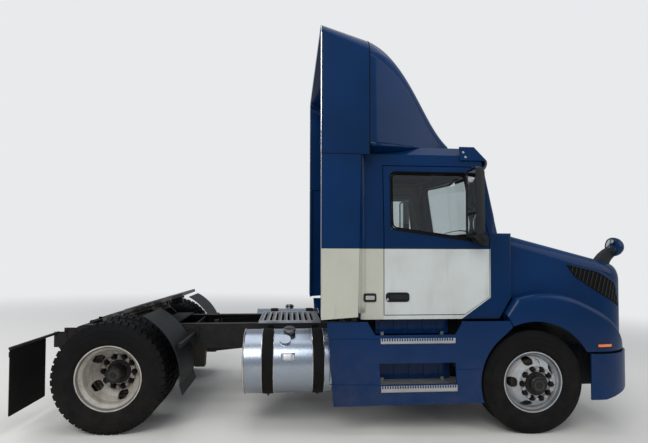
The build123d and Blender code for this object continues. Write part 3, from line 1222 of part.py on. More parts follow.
def step_treads():
    """The two treads on each side with their hangers from the rail."""
    treads = None
    for top in STEP_TOPS:
        tread = box((STEP_REAR_X + 25, STEP_FRONT_X - 16), (STEP_INNER_Y, SKIRT_Y - 28),
                    (top - STEP_THICK, top))
        for row in range(3):
            y = STEP_INNER_Y + 28 + row * 50
            tread = tread - box((STEP_REAR_X + 60, STEP_FRONT_X - 50), (y, y + 24), (top - 12, top + 5))
        treads = tread if treads is None else treads + tread
    for x in STEP_POST_X:
        post = box((x, x + STEP_POST), (STEP_INNER_Y, STEP_INNER_Y + 20),
                   (STEP_TOPS[1] - 10, STEP_TOPS[0] + 60))
        arm = box((x, x + STEP_POST), (RAIL_OUTER_Y + SEAT_FIT, STEP_INNER_Y + 18), STEP_ARM_Z)
        treads = treads + post + arm
    return pair(treads)


def build():
    """Every piece by its name, in its place at rest."""
    outer = cab_form(0)
    inner = cab_form(CAB_WALL)
    leaf = door(outer, inner)
    pane = door_glass()
    arm = mirror_arm()
    nose, rear = roof_fairing()
    outer_hood, inner_hood = hood_form(0, 0), hood_form(HOOD_SKIN, 60)
    outer_fender, inner_fender = fender_form(0), fender_form(HOOD_SKIN)
    frame_pieces = {
        "frame_rails": frame_rails(),
        "front_leaf_springs": front_leaf_springs(),
        "rear_suspension": rear_suspension(),
        "drive_shaft": drive_shaft(),
        "engine_block": engine_block(),
        "gearbox": gearbox(),
        "radiator": radiator(),
        "deck_plate": deck_plate(),
        "fuel_tanks": fuel_tanks(),
        "tank_straps": tank_straps(),
        "fifth_wheel_base": fifth_wheel_base(),
        "fifth_wheel_plate": fifth_wheel_plate(),
        "rear_fenders": rear_fenders(),
        "flap_hangers": flap_hangers(),
        "mud_flaps": mud_flaps(),
        "tail_lamps": tail_lamps(),
        "cab_shell": cab_shell(outer, inner),
        "cab_glass": cab_glass(),
        "door_left": leaf,
        "door_right": mirrored(leaf),
        "door_glass_left": pane,
        "door_glass_right": mirrored(pane),
        "mirror_left": arm,
        "mirror_right": mirrored(arm),
        "dashboard": dashboard(),
        "steering_wheel": steering_wheel(),
        "seats": seats(),
        "fairing_nose": nose,
        "fairing_sides": rear,
        "side_extenders": side_extenders(),
        "sun_visor": sun_visor(),
        "hood": hood(outer, outer_hood, inner_hood, outer_fender, inner_fender),
        "grille": grille(),
        "hood_vents": hood_vents(),
        "headlamps": headlamps(outer_fender, inner_fender),
        "hood_mirrors": hood_mirrors(outer_hood),
        "wheel_liners": wheel_liners(),
        "front_bumper": front_bumper(),
        "side_skirts": side_skirts(),
        "step_treads": step_treads(),
    }
    ground_pieces = {
        "front_axle_beam": front_axle_beam(),
        "knuckle_left": knuckle(1),
        "knuckle_right": knuckle(-1),
        "tie_rod": tie_rod(),
        "rear_axle_housing": rear_axle_housing(),
    }
    for name, side in (("left", 1), ("right", -1)):
        ground_pieces["front_tyre_" + name], ground_pieces["front_rim_" + name] = front_wheel(side)
        ground_pieces["rear_tyres_" + name], ground_pieces["rear_rims_" + name] = rear_wheels(side)
    placed = {name: on_frame(piece) for name, piece in frame_pieces.items()}
    placed.update({name: on_ground(piece) for name, piece in ground_pieces.items()})
    return placed


os.makedirs("parts", exist_ok=True)
for part_name, part_shape in build().items():
    export_step(part_shape, "parts/" + part_name + ".step")
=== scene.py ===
from math import cos, exp, hypot, pi, radians, sin, sqrt, tan

import bmesh
import bpy
from mathutils import Matrix, Vector


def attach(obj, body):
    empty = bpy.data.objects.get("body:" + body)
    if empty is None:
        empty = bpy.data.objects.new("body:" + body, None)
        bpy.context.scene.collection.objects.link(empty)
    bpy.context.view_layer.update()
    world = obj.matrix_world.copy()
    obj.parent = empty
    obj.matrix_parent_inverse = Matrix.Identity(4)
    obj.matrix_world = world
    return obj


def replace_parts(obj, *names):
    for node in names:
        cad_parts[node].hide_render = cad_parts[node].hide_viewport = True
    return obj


bl_info = {
    "name": "Day cab road tractor",
    "version": (1, 0, 0),
    "blender": (4, 5, 0),
    "location": "3D View > Sidebar > Tractor",
    "description": "Dresses the frame of a two-axle day cab road tractor",
    "category": "Object",
}

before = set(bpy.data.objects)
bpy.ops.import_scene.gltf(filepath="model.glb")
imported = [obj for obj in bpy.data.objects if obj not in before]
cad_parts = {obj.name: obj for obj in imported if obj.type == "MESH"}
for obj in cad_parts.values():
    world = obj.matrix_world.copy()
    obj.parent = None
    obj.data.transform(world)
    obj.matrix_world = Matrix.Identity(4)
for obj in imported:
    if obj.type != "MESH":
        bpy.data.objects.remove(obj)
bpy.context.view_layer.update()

# Stance and main stations, in metres, measured forward from the rear axle like the frame's drawing
RAKE = radians(1.75)
RAKE_PIVOT = 0.95
LENGTH_MIDDLE = 2.157405
WHEELBASE = 4.0
TYRE_RADIUS = 0.502
TYRE_WIDTH = 0.28
RIM_RADIUS = 0.288
FRONT_TRACK = 1.03
REAR_TRACK = 0.925
DUAL_SPACING = 0.336
CAB_HALF = 1.13
CAB_REAR = 2.290
BELT_Z = 1.835
BELT_TO_ROOF = 0.775
CAB_LEAN = 0.068
RAIL_TOP = 0.868
RAIL_HEIGHT = 0.262
RAIL_Y = 0.425
FENDER_HALF = 1.205
FENDER_ROUND = 0.5
FENDER_CORNER = 4.622
DOOR_REAR = 2.508
DOOR_FRONT = 3.566
BAND_TOP = 1.68
SKIRT_Y = 1.222
DECK_TOP = 0.8905


def raked(x, y, z):
    """Place in the scene of a point given in the truck's level drawing."""
    c, s = cos(RAKE), sin(RAKE)
    rise = z - RAKE_PIVOT
    return Vector((x * c - rise * s - LENGTH_MIDDLE, y, RAKE_PIVOT + x * s + rise * c))


def on_road(x, y, z):
    """Place in the scene of a point measured over the road from the rear axle."""
    return Vector((x - LENGTH_MIDDLE, y, z))


STANCE = Matrix.Translation(raked(0, 0, 0)) @ Matrix.Rotation(-RAKE, 4, "Y")


# Material building

class Signal:
    """A value or colour inside a material. Python's operators on it add the nodes for the sum."""

    def __init__(self, finish, socket):
        self.finish = finish
        self.socket = socket

    def maths(self, operation, first, second=None):
        node = self.finish.tree.nodes.new("ShaderNodeMath")
        node.operation = operation
        for index, value in enumerate((first, second)):
            if value is not None:
                self.finish.feed(node.inputs[index], value)
        return Signal(self.finish, node.outputs[0])

    def __add__(self, other):
        return self.maths("ADD", self, other)

    def __radd__(self, other):
        return self.maths("ADD", other, self)

    def __sub__(self, other):
        return self.maths("SUBTRACT", self, other)

    def __rsub__(self, other):
        return self.maths("SUBTRACT", other, self)

    def __mul__(self, other):
        return self.maths("MULTIPLY", self, other)

    def __rmul__(self, other):
        return self.maths("MULTIPLY", other, self)

    def __pow__(self, other):
        return self.maths("POWER", self, other)

    def __abs__(self):
        return self.maths("ABSOLUTE", self)

    def above(self, edge):
        """1 where the value is greater than the edge."""
        return self.maths("GREATER_THAN", self, edge)

    def below(self, edge):
        """1 where the value is less than the edge."""
        return self.maths("LESS_THAN", self, edge)

    def least(self, other):
        return self.maths("MINIMUM", self, other)

    def most(self, other):
        return self.maths("MAXIMUM", self, other)

    def sine(self):
        return self.maths("SINE", self)

    def ramp(self, low, high):
        """0 at low, 1 at high, smooth between."""
        node = self.finish.add("ShaderNodeMapRange", {"interpolation_type": "SMOOTHSTEP"},
                               {"Value": self, "From Min": low, "From Max": high})
        return Signal(self.finish, node.outputs["Result"])


def linear(colour):
    """A colour written as 0 to 255 screen values, as the shader's own scale."""
    out = []
    for channel in colour:
        v = channel / 255
        out.append(v / 12.92 if v <= 0.04045 else ((v + 0.055) / 1.055) ** 2.4)
    return (*out, 1.0)


class Finish:
    """One material: its shader, its places on the object, and the nodes that vary it."""

    def __init__(self, name):
        self.material = bpy.data.materials.new(name)
        self.material.use_nodes = True
        self.tree = self.material.node_tree
        self.shader = self.tree.nodes["Principled BSDF"]
        self.place = self.add("ShaderNodeTexCoord").outputs["Object"]

    def add(self, kind, settings=None, sockets=None):
        """A node of one kind, with its settings made first and its sockets filled after."""
        node = self.tree.nodes.new(kind)
        for key, value in (settings or {}).items():
            setattr(node, key, value)
        for key, value in (sockets or {}).items():
            self.feed(node.inputs[key], value)
        return node

    def feed(self, socket, value):
        """Link a signal to a socket, or set its own value. A colour of three numbers is in screen values."""
        if isinstance(value, Signal):
            value = value.socket
        if isinstance(value, bpy.types.NodeSocket):
            self.tree.links.new(value, socket)
        elif socket.type == "RGBA" and len(value) == 3:
            socket.default_value = linear(value)
        else:
            socket.default_value = value

    def set(self, **sockets):
        """Fill the shader's sockets, whose names are given with underscores."""
        for key, value in sockets.items():
            self.feed(self.shader.inputs[key.replace("_", " ")], value)

    def axes(self):
        """The three coordinates of the object's own places."""
        node = self.add("ShaderNodeSeparateXYZ", None, {"Vector": self.place})
        return [Signal(self, out) for out in node.outputs]

    def level(self):
        """X from the rear axle and Z in the truck's level drawing, and Y."""
        x, y, z = self.axes()
        c, s = cos(RAKE), sin(RAKE)
        run = x + LENGTH_MIDDLE
        rise = z - RAKE_PIVOT
        return run * c + rise * s, y, rise * c - run * s + RAKE_PIVOT

    def stretched(self, scale):
        """The object's places scaled on each axis."""
        node = self.add("ShaderNodeMapping", None, {"Vector": self.place, "Scale": scale})
        return node.outputs["Vector"]

    def noise(self, scale, detail=4, roughness=0.55, place=None):
        node = self.add("ShaderNodeTexNoise", None, {
            "Vector": place or self.place, "Scale": scale, "Detail": detail, "Roughness": roughness})
        return Signal(self, node.outputs[0])

    def cells(self, scale):
        node = self.add("ShaderNodeTexVoronoi", None, {"Vector": self.place, "Scale": scale})
        return Signal(self, node.outputs["Distance"])

    def mix(self, factor, first, second):
        """One colour turning into another by a factor."""
        node = self.add("ShaderNodeMix", {"data_type": "RGBA"})
        self.feed(node.inputs["Factor"], factor)
        self.feed(node.inputs[6], first)
        self.feed(node.inputs[7], second)
        return Signal(self, node.outputs[2])

    def bump(self, height, distance=0.001, strength=1.0):
        """Raise the surface by a height signal."""
        sockets = {"Height": height, "Distance": distance, "Strength": strength}
        self.set(Normal=self.add("ShaderNodeBump", None, sockets).outputs["Normal"])


# Finishes

DUST = (142, 124, 100)
FINISHES = {}


def finish(name):
    """Start a finish and keep it by its name."""
    made = Finish(name)
    FINISHES[name] = made
    return made


def grime(made, base, low, high, strength, colour=DUST, scale=5):
    """A colour under road dust that thins out from the low height to the high one."""
    height = made.level()[2]
    patches = made.noise(scale, 6, 0.65).ramp(0.3, 0.75)
    speckle = made.noise(scale * 14, 3, 0.7).ramp(0.35, 0.7)
    amount = (1 - height.ramp(low, high)) * (patches * 0.7 + speckle * 0.3) * strength
    return made.mix(amount, base, colour), amount


def blue_of(made):
    """The paint's blue, with painted shade in wide patches: the blue as it looks in shade, mixed in by slow
    noise.
    """
    choice = bpy.context.scene.tractor_paint
    # Wide patches of painted shade: the blue in shade mixed into the blue
    return made.mix(made.noise(0.9, 3, 0.5).ramp(0.2, 0.8), choice.shaded_blue, choice.blue)


def sprayed(made, colour, roughness, coat):
    """Gloss paint under a clear coat, with the fine ripple of a sprayed skin."""
    made.set(Base_Color=colour, Roughness=roughness, Coat_Weight=coat, Coat_Roughness=0.06,
             Specular_IOR_Level=0.05)
    made.bump(made.noise(420, 2, 0.5), 0.00004, 0.5)


def body_paint():
    """Blue gloss paint, dusty towards the road."""
    made = finish("body_paint")
    colour, dust = grime(made, blue_of(made), 0.25, 1.1, 0.05)
    sprayed(made, colour, 0.36 + dust * 0.5, 0.22 - dust * 0.2)


def band_paint():
    """The cab side's two colours: blue above, and a white band across the door, pillar and extender."""
    made = finish("band_paint")
    x, y, z = made.level()
    side = abs(y).above(CAB_HALF - 0.04 + x.below(CAB_REAR - 0.040) * 0.12)
    corner = (x - 3.31 - (z - 1.03) * 1.41).below(0.012)
    band = side * z.below(BAND_TOP) * x.below(DOOR_FRONT + 0.004) * corner
    line = side * abs(z - BAND_TOP).below(0.003) * x.below(DOOR_FRONT)
    blue = blue_of(made)
    choice = bpy.context.scene.tractor_paint
    white = made.mix(x.below(DOOR_REAR), choice.white, choice.cream)
    worn = made.mix(made.noise(2.3, 5, 0.6).ramp(0.35, 0.8) * 0.35, white, (160, 157, 148))
    streaks = made.noise(9, 5, 0.6, made.stretched((1, 1, 0.12))).ramp(0.52, 0.8) * 0.25
    white = made.mix(streaks, worn, (120, 112, 98))
    colour = made.mix(band, blue, white)
    colour = made.mix(line, colour, (14, 20, 30))
    lean = (z - BELT_Z).most(0) * 0.0877
    lining = (abs(y) + lean).below(CAB_HALF - 0.04) * x.above(CAB_REAR + 0.04) * x.below(3.5) * z.below(2.65)
    colour = made.mix(lining, colour, (96, 94, 90))
    sprayed(made, colour, 0.36 + band * 0.06, 0.22)


def part_paints():
    """Blue panels with dark parts: the skirts' step wells, and the mirrors' horns below their heads."""
    for name, dark_of in (("skirt_paint", lambda x, y, z: abs(y).below(SKIRT_Y - 0.0235)),
                          ("horn_paint", lambda x, y, z: (z - x * 0.25).below(0.372) + x.below(4.94))):
        made = finish(name)
        x, y, z = made.level()
        dark = dark_of(x, y, z).least(1.0)
        blue, dust = grime(made, blue_of(made), 0.2, 1.0, 0.09)
        colour = made.mix(dark, blue, (18, 19, 21))
        sprayed(made, colour, 0.34 + dark * 0.2 + dust * 0.4, (0.22 - dust * 0.2) * (1 - dark))


def plastics():
    """Black moulded plastic outside, and the grey and dark trim plastics inside the cab."""
    for name, colour, pale, rough in (
            ("black_plastic", (16, 18, 20), (34, 35, 35), 0.5),
            ("trim_plastic", (92, 90, 86), (112, 108, 101), 0.62),
            ("dark_trim", (38, 39, 41), (58, 57, 55), 0.6)):
        made = finish(name)
        base = made.mix(made.noise(7, 5, 0.6).ramp(0.4, 0.85) * 0.5, colour, pale)
        grain = made.cells(900)
        made.set(Base_Color=base, Roughness=rough + made.noise(16, 4, 0.6) * 0.14, Specular_IOR_Level=0.3)
        made.bump(grain, 0.00012, 0.5)


def frame_finishes():
    """Chassis paint, cast parts, spring steel and rough castings, all with some rust and dust."""
    for name, colour, metal, rough, dust in (
            ("frame_paint", (16, 18, 21), 0.0, 0.5, 0.12),
            ("cast_steel", (34, 34, 34), 0.35, 0.6, 0.25),
            ("spring_steel", (26, 27, 29), 0.4, 0.5, 0.2),
            ("rust_cast", (22, 20, 19), 0.1, 0.8, 0.15)):
        made = finish(name)
        rust = made.noise(11, 7, 0.7).ramp(0.62, 0.78) * 0.3
        base = made.mix(rust, colour, (84, 52, 34))
        base, layer = grime(made, base, 0.2, 1.6, dust)
        made.set(Base_Color=base, Metallic=metal, Roughness=rough + layer * 0.3 + rust * 0.2,
                 Specular_IOR_Level=0.25)
        made.bump(made.noise(55, 5, 0.6), 0.0006, 0.35)


def grease_finish():
    """Dark wet grease."""
    made = finish("grease")
    made.set(Base_Color=made.mix(made.noise(40, 4, 0.6), (12, 10, 9), (34, 28, 22)),
             Roughness=0.22 + made.noise(60, 3, 0.6) * 0.2, Coat_Weight=0.6)


def worn_steel():
    """Steel polished and scored by use, greasy in its hollows."""
    made = finish("worn_steel")
    grease = made.noise(6, 6, 0.65).ramp(0.42, 0.62)
    scores = made.noise(30, 4, 0.6, made.stretched((1, 9, 9))).ramp(0.5, 0.7)
    base = made.mix(scores * 0.5, (98, 96, 92), (150, 147, 141))
    base = made.mix(grease, base, (26, 24, 22))
    made.set(Base_Color=base, Metallic=0.85 - grease * 0.6, Roughness=0.42 + scores * 0.14 - grease * 0.12)
    made.bump(scores + grease, 0.0008, 0.4)


def bright_metals():
    """Polished tanks, whose bluish tone is a painted reflection of the sky, bright step treads, duller filler
    caps and pale straps.
    """
    for name, colour, rough, stain in (
            # The tanks' bluish base colour is a painted reflection of the sky
            ("aluminium", (158, 168, 182), 0.24, 0.5),
            ("tread_metal", (184, 186, 188), 0.38, 0.6),
            ("cap_metal", (92, 96, 100), 0.32, 0.6),
            ("strap_metal", (214, 212, 205), 0.2, 0.4)):
        made = finish(name)
        haze = made.noise(3.2, 6, 0.6).ramp(0.35, 0.75) * stain
        brushed = made.noise(60, 3, 0.6, made.stretched((14, 1, 1)))
        base = made.mix(haze * 0.55, colour, (132, 128, 120))
        base, layer = grime(made, base, 0.2, 0.75, stain * 0.7)
        made.set(Base_Color=base, Metallic=1.0 - layer * 0.6, Roughness=rough + haze * 0.16 + layer * 0.3)
        made.bump(brushed, 0.00015, 0.35)


def rim_paint():
    """White wheel paint: dark round the hub, brake dust by the hand holes, rust at the nuts, and painted
    shade in a dark ring at the bead.
    """
    for name, colour, dirt, station in (("front_rim_paint", (168, 172, 176), 0.45, WHEELBASE),
                                        ("rear_rim_paint", (186, 182, 174), 0.8, 0.0)):
        made = finish(name)
        x, z = made.axes()[::2]
        radius = ((x - (station - LENGTH_MIDDLE)) ** 2 + (z - TYRE_RADIUS) ** 2) ** 0.5
        patches = made.noise(9, 6, 0.65).ramp(0.35, 0.7)
        fine = made.noise(90, 4, 0.7).ramp(0.4, 0.75)
        base = made.mix((patches * 0.65 + fine * 0.35) * dirt, colour, (112, 100, 84))
        chips = made.noise(38, 6, 0.75).ramp(0.66, 0.72)
        base = made.mix(chips * 0.7, base, (70, 48, 36))
        nut_circle, bead_circle = 0.143, 0.277
        near_nuts = (1 - abs(radius - nut_circle).ramp(0.012, 0.034)) * (0.3 + fine * 0.4)
        base = made.mix(near_nuts * dirt * 1.3, base, (60, 50, 42))
        # A dark ring at the bead: painted shade where the rim's flange meets the tyre
        bead = abs(radius - bead_circle).ramp(0.004, 0.010)
        base = made.mix((1 - bead) * 0.75, base, (40, 38, 36))
        hub = 1 - radius.ramp(0.110, 0.114)
        base = made.mix(hub, base, (30, 30, 31))
        made.set(Base_Color=base, Roughness=0.42 + patches * 0.2)
        made.bump(made.noise(120, 3, 0.6), 0.0003, 0.3)


def hub_metals():
    """Dark greased hub metal and rusted wheel nuts."""
    for name, colour, rust_tone, amount in (("hub_metal", (38, 37, 36), (66, 54, 42), 0.6),
                                            ("nut_steel", (24, 23, 23), (74, 48, 32), 0.55)):
        made = finish(name)
        spots = made.noise(46, 6, 0.7).ramp(0.5, 0.68) * amount
        base = made.mix(spots, colour, rust_tone)
        made.set(Base_Color=base, Metallic=0.7 - spots * 0.6, Roughness=0.4 + spots * 0.4)
        made.bump(made.noise(150, 4, 0.6), 0.0003, 0.4)


def rubbers():
    """Tyre and flap rubber with dust in the grooves."""
    for name, colour, amount, grain in (("tyre_rubber", (13, 14, 16), 0.07, 160),
                                        ("flap_rubber", (15, 15, 16), 0.05, 70),
                                        ("seal_rubber", (13, 13, 14), 0.05, 120)):
        made = finish(name)
        base, layer = grime(made, colour, 0.1, 1.2, amount, (118, 104, 86), 8)
        made.set(Base_Color=base, Roughness=0.74 + layer * 0.2, Specular_IOR_Level=0.1)
        made.bump(made.noise(grain, 4, 0.6), 0.0005, 0.4)


def dial_marks():
    """Pale printed marks on the dials."""
    made = finish("white_marks")
    made.set(Base_Color=(210, 210, 204), Roughness=0.5)


def fabric():
    """Woven seat cloth."""
    made = finish("seat_fabric")
    x, y, z = made.axes()
    weave = (x * 1700).sine() * (y * 1700 + z * 1700).sine()
    tone = made.noise(14, 4, 0.6).ramp(0.3, 0.75)
    base = made.mix(tone, (44, 46, 50), (66, 67, 70))
    made.set(Base_Color=base, Roughness=0.9, Sheen_Weight=0.3)
    made.bump(weave, 0.0004, 0.5)


def clear_parts():
    """Window glass, lamp lenses and mirror faces."""
    glass = finish("window_glass")
    smear = glass.noise(3, 5, 0.6).ramp(0.45, 0.8)
    glass.set(Base_Color=(240, 246, 244), Transmission_Weight=1.0, IOR=1.45, Roughness=0.015 + smear * 0.03)
    lens = finish("lamp_lens")
    lens.set(Base_Color=(236, 238, 236), Transmission_Weight=1.0, IOR=1.5,
             Roughness=0.04 + lens.noise(40, 3, 0.5) * 0.05)
    bed = finish("lamp_bed")
    flutes = (bed.axes()[0] * 260).sine()
    bed.set(Base_Color=bed.mix(bed.noise(30, 3, 0.5), (206, 206, 200), (160, 160, 154)), Metallic=0.5,
            Roughness=0.16 + bed.noise(50, 2, 0.5) * 0.1)
    bed.bump(flutes, 0.001, 0.5)
    amber = finish("amber_lens")
    ribs = (amber.axes()[0] * 1400).sine()
    amber.set(Base_Color=amber.mix(amber.noise(60, 2, 0.5), (226, 92, 10), (244, 128, 30)),
              Roughness=0.18, Coat_Weight=1.0)
    amber.bump(ribs, 0.0004, 0.4)
    red = finish("red_lens")
    red.set(Base_Color=red.mix(red.noise(60, 2, 0.5), (120, 10, 8), (152, 18, 14)),
            Roughness=0.2, Coat_Weight=1.0)
    red.bump((red.axes()[1] * 1400).sine(), 0.0004, 0.4)
    face = finish("mirror_face")
    face.set(Base_Color=(226, 230, 232), Metallic=1.0, Roughness=0.03 + face.noise(12, 4, 0.6) * 0.03)
    chrome = finish("chrome")
    chrome.set(Base_Color=(214, 214, 216), Metallic=1.0, Roughness=0.1 + chrome.noise(18, 4, 0.6) * 0.1)


# The frame's nodes that carry each finish
NODES_OF_FINISH = {
    "frame_paint": "frame_rails rear_suspension flap_hangers",
    "spring_steel": "front_leaf_springs",
    "cast_steel": "drive_shaft engine_block gearbox fifth_wheel_base front_axle_beam knuckle_left "
                  "knuckle_right tie_rod rear_axle_housing",
    "black_plastic": "radiator rear_fenders mirror_left mirror_right grille hood_vents wheel_liners",
    "tread_metal": "deck_plate step_treads",
    "aluminium": "fuel_tanks",
    "seal_rubber": "tank_straps",
    "worn_steel": "fifth_wheel_plate",
    "flap_rubber": "mud_flaps",
    "red_lens": "tail_lamps",
    "band_paint": "cab_shell door_left door_right side_extenders",
    "window_glass": "cab_glass door_glass_left door_glass_right",
    "trim_plastic": "dashboard",
    "dark_trim": "steering_wheel",
    "seat_fabric": "seats",
    "body_paint": "fairing_nose fairing_sides sun_visor hood front_bumper",
    "lamp_lens": "headlamps",
    "horn_paint": "hood_mirrors",
    "skirt_paint": "side_skirts",
    "tyre_rubber": "front_tyre_left front_tyre_right rear_tyres_left rear_tyres_right",
    "front_rim_paint": "front_rim_left front_rim_right",
    "rear_rim_paint": "rear_rims_left rear_rims_right",
}
SMOOTH_ANGLE = radians(32)


def size_of(name):
    """One of the sidebar's sizes, rounded to the thousandth of a millimetre."""
    return round(getattr(bpy.context.scene.tractor_sizes, name), 6)


def dress(node, name):
    """Give one of the frame's nodes its finish and soft shading over its round faces."""
    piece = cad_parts[node]
    piece.data.materials.clear()
    piece.data.materials.append(FINISHES[name].material)
    piece.data.shade_smooth()
    piece.data.set_sharp_from_angle(angle=SMOOTH_ANGLE)


# Mesh building

GROUND = Matrix.Translation(on_road(0, 0, 0))
SIDES = (1, -1)
LEFT_RIGHT = (("left", 1), ("right", -1))
# Radius that closes a turned outline on its axis, and how near two places are to be one
POLE = 0.0001
WELD = 0.00005


def ring_of(count, radius):
    """Evenly spaced places round a circle."""
    return [(radius * cos(2 * pi * i / count), radius * sin(2 * pi * i / count)) for i in range(count)]


def rectangle(left, right, low, high):
    """The four corners of a rectangle, each as its place along and its height."""
    return [(left, low), (right, low), (right, high), (left, high)]


def across(x, outline, side=1):
    """An outline of Y and Z, stood across the truck at a station."""
    return [(x, side * y, z) for y, z in outline]


def turn_to(direction, at):
    """A placement that stands a piece's own Z axis along a direction at a place."""
    return Matrix.Translation(Vector(at)) @ Vector(direction).to_track_quat("Z", "Y").to_matrix().to_4x4()


class Shape:
    """A mesh that grows by turned, swept and pushed-out parts before it becomes a piece."""

    def __init__(self):
        self.verts = []
        self.faces = []

    def add(self, verts, faces, place=None):
        start = len(self.verts)
        self.verts.extend(tuple(place @ Vector(v)) if place else tuple(v) for v in verts)
        self.faces.extend(tuple(start + index for index in face) for face in faces)
        return self

    def sheet(self, rows, closed_rows=False, closed_columns=False, place=None):
        """A skin over rows of points that all have the same count."""
        count, width = len(rows), len(rows[0])
        verts = [v for row in rows for v in row]
        faces = []
        for i in range(count if closed_rows else count - 1):
            for j in range(width if closed_columns else width - 1):
                a, b = i * width + j, i * width + (j + 1) % width
                c, d = ((i + 1) % count) * width + (j + 1) % width, ((i + 1) % count) * width + j
                faces.append((a, b, c, d))
        return self.add(verts, faces, place)

    def turned(self, profile, place=None, steps=32, closed=False):
        """An outline of radius and height, turned round the Z axis."""
        rows = [[(a, b, height) for a, b in ring_of(steps, radius)] for radius, height in profile]
        return self.sheet(rows, closed, True, place)

    def swept(self, path, radius, sides=10, closed=False, flat=1.0):
        """A round or flattened bar along a path of places."""
        path = [Vector(p) for p in path]
        rows = []
        count = len(path)
        side = None
        for i, at in enumerate(path):
            before = path[i - 1] if i or closed else at
            after = path[(i + 1) % count] if i < count - 1 or closed else at
            along = (after - before).normalized()
            side = along.orthogonal() if side is None else side - along * side.dot(along)
            side.normalize()
            up = along.cross(side)
            rows.append([at + side * a + up * b * flat for a, b in ring_of(sides, radius)])
        self.sheet(rows, closed, True)
        if not closed:
            self.lid(sides, (count - 1) * sides, True)
            self.lid(sides)
        return self

    def lid(self, count, back=0, flipped=False):
        """A face over the newest ring of places, or over one that ends so many places back."""
        start = len(self.verts) - back - count
        ring = range(start, start + count)
        self.faces.append(tuple(reversed(ring) if flipped else ring))

    def prism(self, outline, low, high, place=None):
        """A flat outline of X and Y pushed from one height to another."""
        count = len(outline)
        verts = [(x, y, low) for x, y in outline] + [(x, y, high) for x, y in outline]
        faces = [tuple(reversed(range(count))), tuple(range(count, 2 * count))]
        faces += [(i, (i + 1) % count, count + (i + 1) % count, count + i) for i in range(count)]
        return self.add(verts, faces, place)

    def block(self, x, y, z, place=None):
        """A block between two places on each axis, those of Y in any order."""
        y = sorted(y)
        return self.prism(rectangle(*x, *y), *z, place)

    def side_block(self, outline, *ys):
        """An outline of X and Z, pushed across the truck between two places."""
        place = Matrix(((1, 0, 0, 0), (0, 0, -1, 0), (0, 1, 0, 0), (0, 0, 0, 1)))
        return self.prism(outline, -max(ys), -min(ys), place)

    def bolt(self, at, direction, size, height=None):
        """A hexagon head on its washer."""
        height = height or size * 0.9
        place = turn_to(direction, at)
        self.turned([(POLE, 0), (size * 1.35, 0), (size * 1.35, size * 0.22), (size * 0.8, size * 0.22)],
                    place, 16)
        return self.turned([(size, size * 0.22), (size, height * 0.88), (size * 0.82, height),
                            (POLE, height)], place, 6)

    def mirrored(self):
        """The same parts again on the truck's other side."""
        verts = [(x, -y, z) for x, y, z in self.verts]
        faces = [tuple(reversed(face)) for face in self.faces]
        return self.add(verts, faces)

    def make(self, name, finish_name, body="chassis", place=STANCE, bevel=0.0, smooth=SMOOTH_ANGLE):
        """The finished piece, in place and riding on its body."""
        mesh = bpy.data.meshes.new(name)
        mesh.from_pydata(self.verts, [], self.faces)
        grown = bmesh.new()
        grown.from_mesh(mesh)
        bmesh.ops.remove_doubles(grown, verts=grown.verts, dist=WELD)
        bmesh.ops.recalc_face_normals(grown, faces=grown.faces)
        grown.transform(place)
        grown.to_mesh(mesh)
        grown.free()
        mesh.materials.append(FINISHES[finish_name].material)
        mesh.shade_smooth()
        mesh.set_sharp_from_angle(angle=smooth)
        piece = bpy.data.objects.new(name, mesh)
        bpy.context.scene.collection.objects.link(piece)
        if bevel:
            rounding = piece.modifiers.new("rounding", "BEVEL")
            rounding.width = bevel
            rounding.segments = 2
            rounding.limit_method = "ANGLE"
            rounding.harden_normals = True
        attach(piece, body)
        return piece


def new_shapes(count):
    return [Shape() for _ in range(count)]


def both_sides(*shapes):
    for shape in shapes:
        shape.mirrored()


def thickened(piece, depth):
    """Give a skin its thickness, half to each side."""
    skin = piece.modifiers.new("thickness", "SOLIDIFY")
    skin.thickness = depth
    skin.offset = 0


# Wheels

# Across the tread: share of half width, drop below the tread, and 1 where cross grooves cut it
RIBBED_ROWS = [(0.99, 0.030, 0), (0.955, 0.010, 0), (0.90, 0.001, 0), (0.66, 0, 0), (0.64, 0.013, 0),
               (0.56, 0.013, 0), (0.54, 0, 0), (0.24, 0, 0), (0.22, 0.013, 0), (0.13, 0.013, 0), (0.11, 0, 0),
               (0, 0, 0)]
LUGGED_ROWS = [(0.99, 0.030, 0.5), (0.955, 0.010, 1), (0.90, 0.001, 1), (0.60, 0, 1), (0.57, 0.017, 0),
               (0.49, 0.017, 0), (0.46, 0, 1), (0.12, 0, 1), (0.10, 0.014, 0), (0, 0.014, 0)]
LUG_SHARES = [(0.0, 0), (0.03, 1), (0.25, 1), (0.28, 0), (0.64, 0)]


def tyre_shape(shape, middle_y, rows, lugs):
    """One tyre about its axle line: side walls with raised rings, a bead, and the tread's rows."""
    half = TYRE_WIDTH / 2
    tread_half = half - 0.016
    groove = size_of("lug_depth")
    side = [(RIM_RADIUS + 0.0005, half - 0.040), (RIM_RADIUS + 0.004, half - 0.024),
            (RIM_RADIUS + 0.022, half - 0.018), (RIM_RADIUS + 0.030, half - 0.010), (0.350, half - 0.0035),
            (0.362, half - 0.0035), (0.365, half - 0.0015), (0.395, half), (0.420, half - 0.0025),
            (0.424, half - 0.0005), (0.430, half - 0.0005), (0.433, half - 0.004), (0.452, half - 0.008),
            (0.466, half - 0.013)]
    tread = [(TYRE_RADIUS - drop, tread_half * share, cut) for share, drop, cut in rows]
    right = [(r, y, 0) for r, y in side] + tread
    whole = right + [(r, -y, cut) for r, y, cut in reversed(right[:-1])]
    angles = [(2 * pi * (step + share) / lugs, deep) for step in range(lugs) for share, deep in LUG_SHARES]
    skin = []
    for r, y, cut in whole:
        skew = 2 * pi / lugs * 0.5 * (y / tread_half if cut else 0) + (pi / lugs if cut and y < 0 else 0)
        ring = []
        for angle, deep in angles:
            radius = r - groove * deep * cut
            ring.append((radius * cos(angle + skew), middle_y + y, radius * sin(angle + skew)))
        skin.append(ring)
    shape.sheet(skin, False, True)


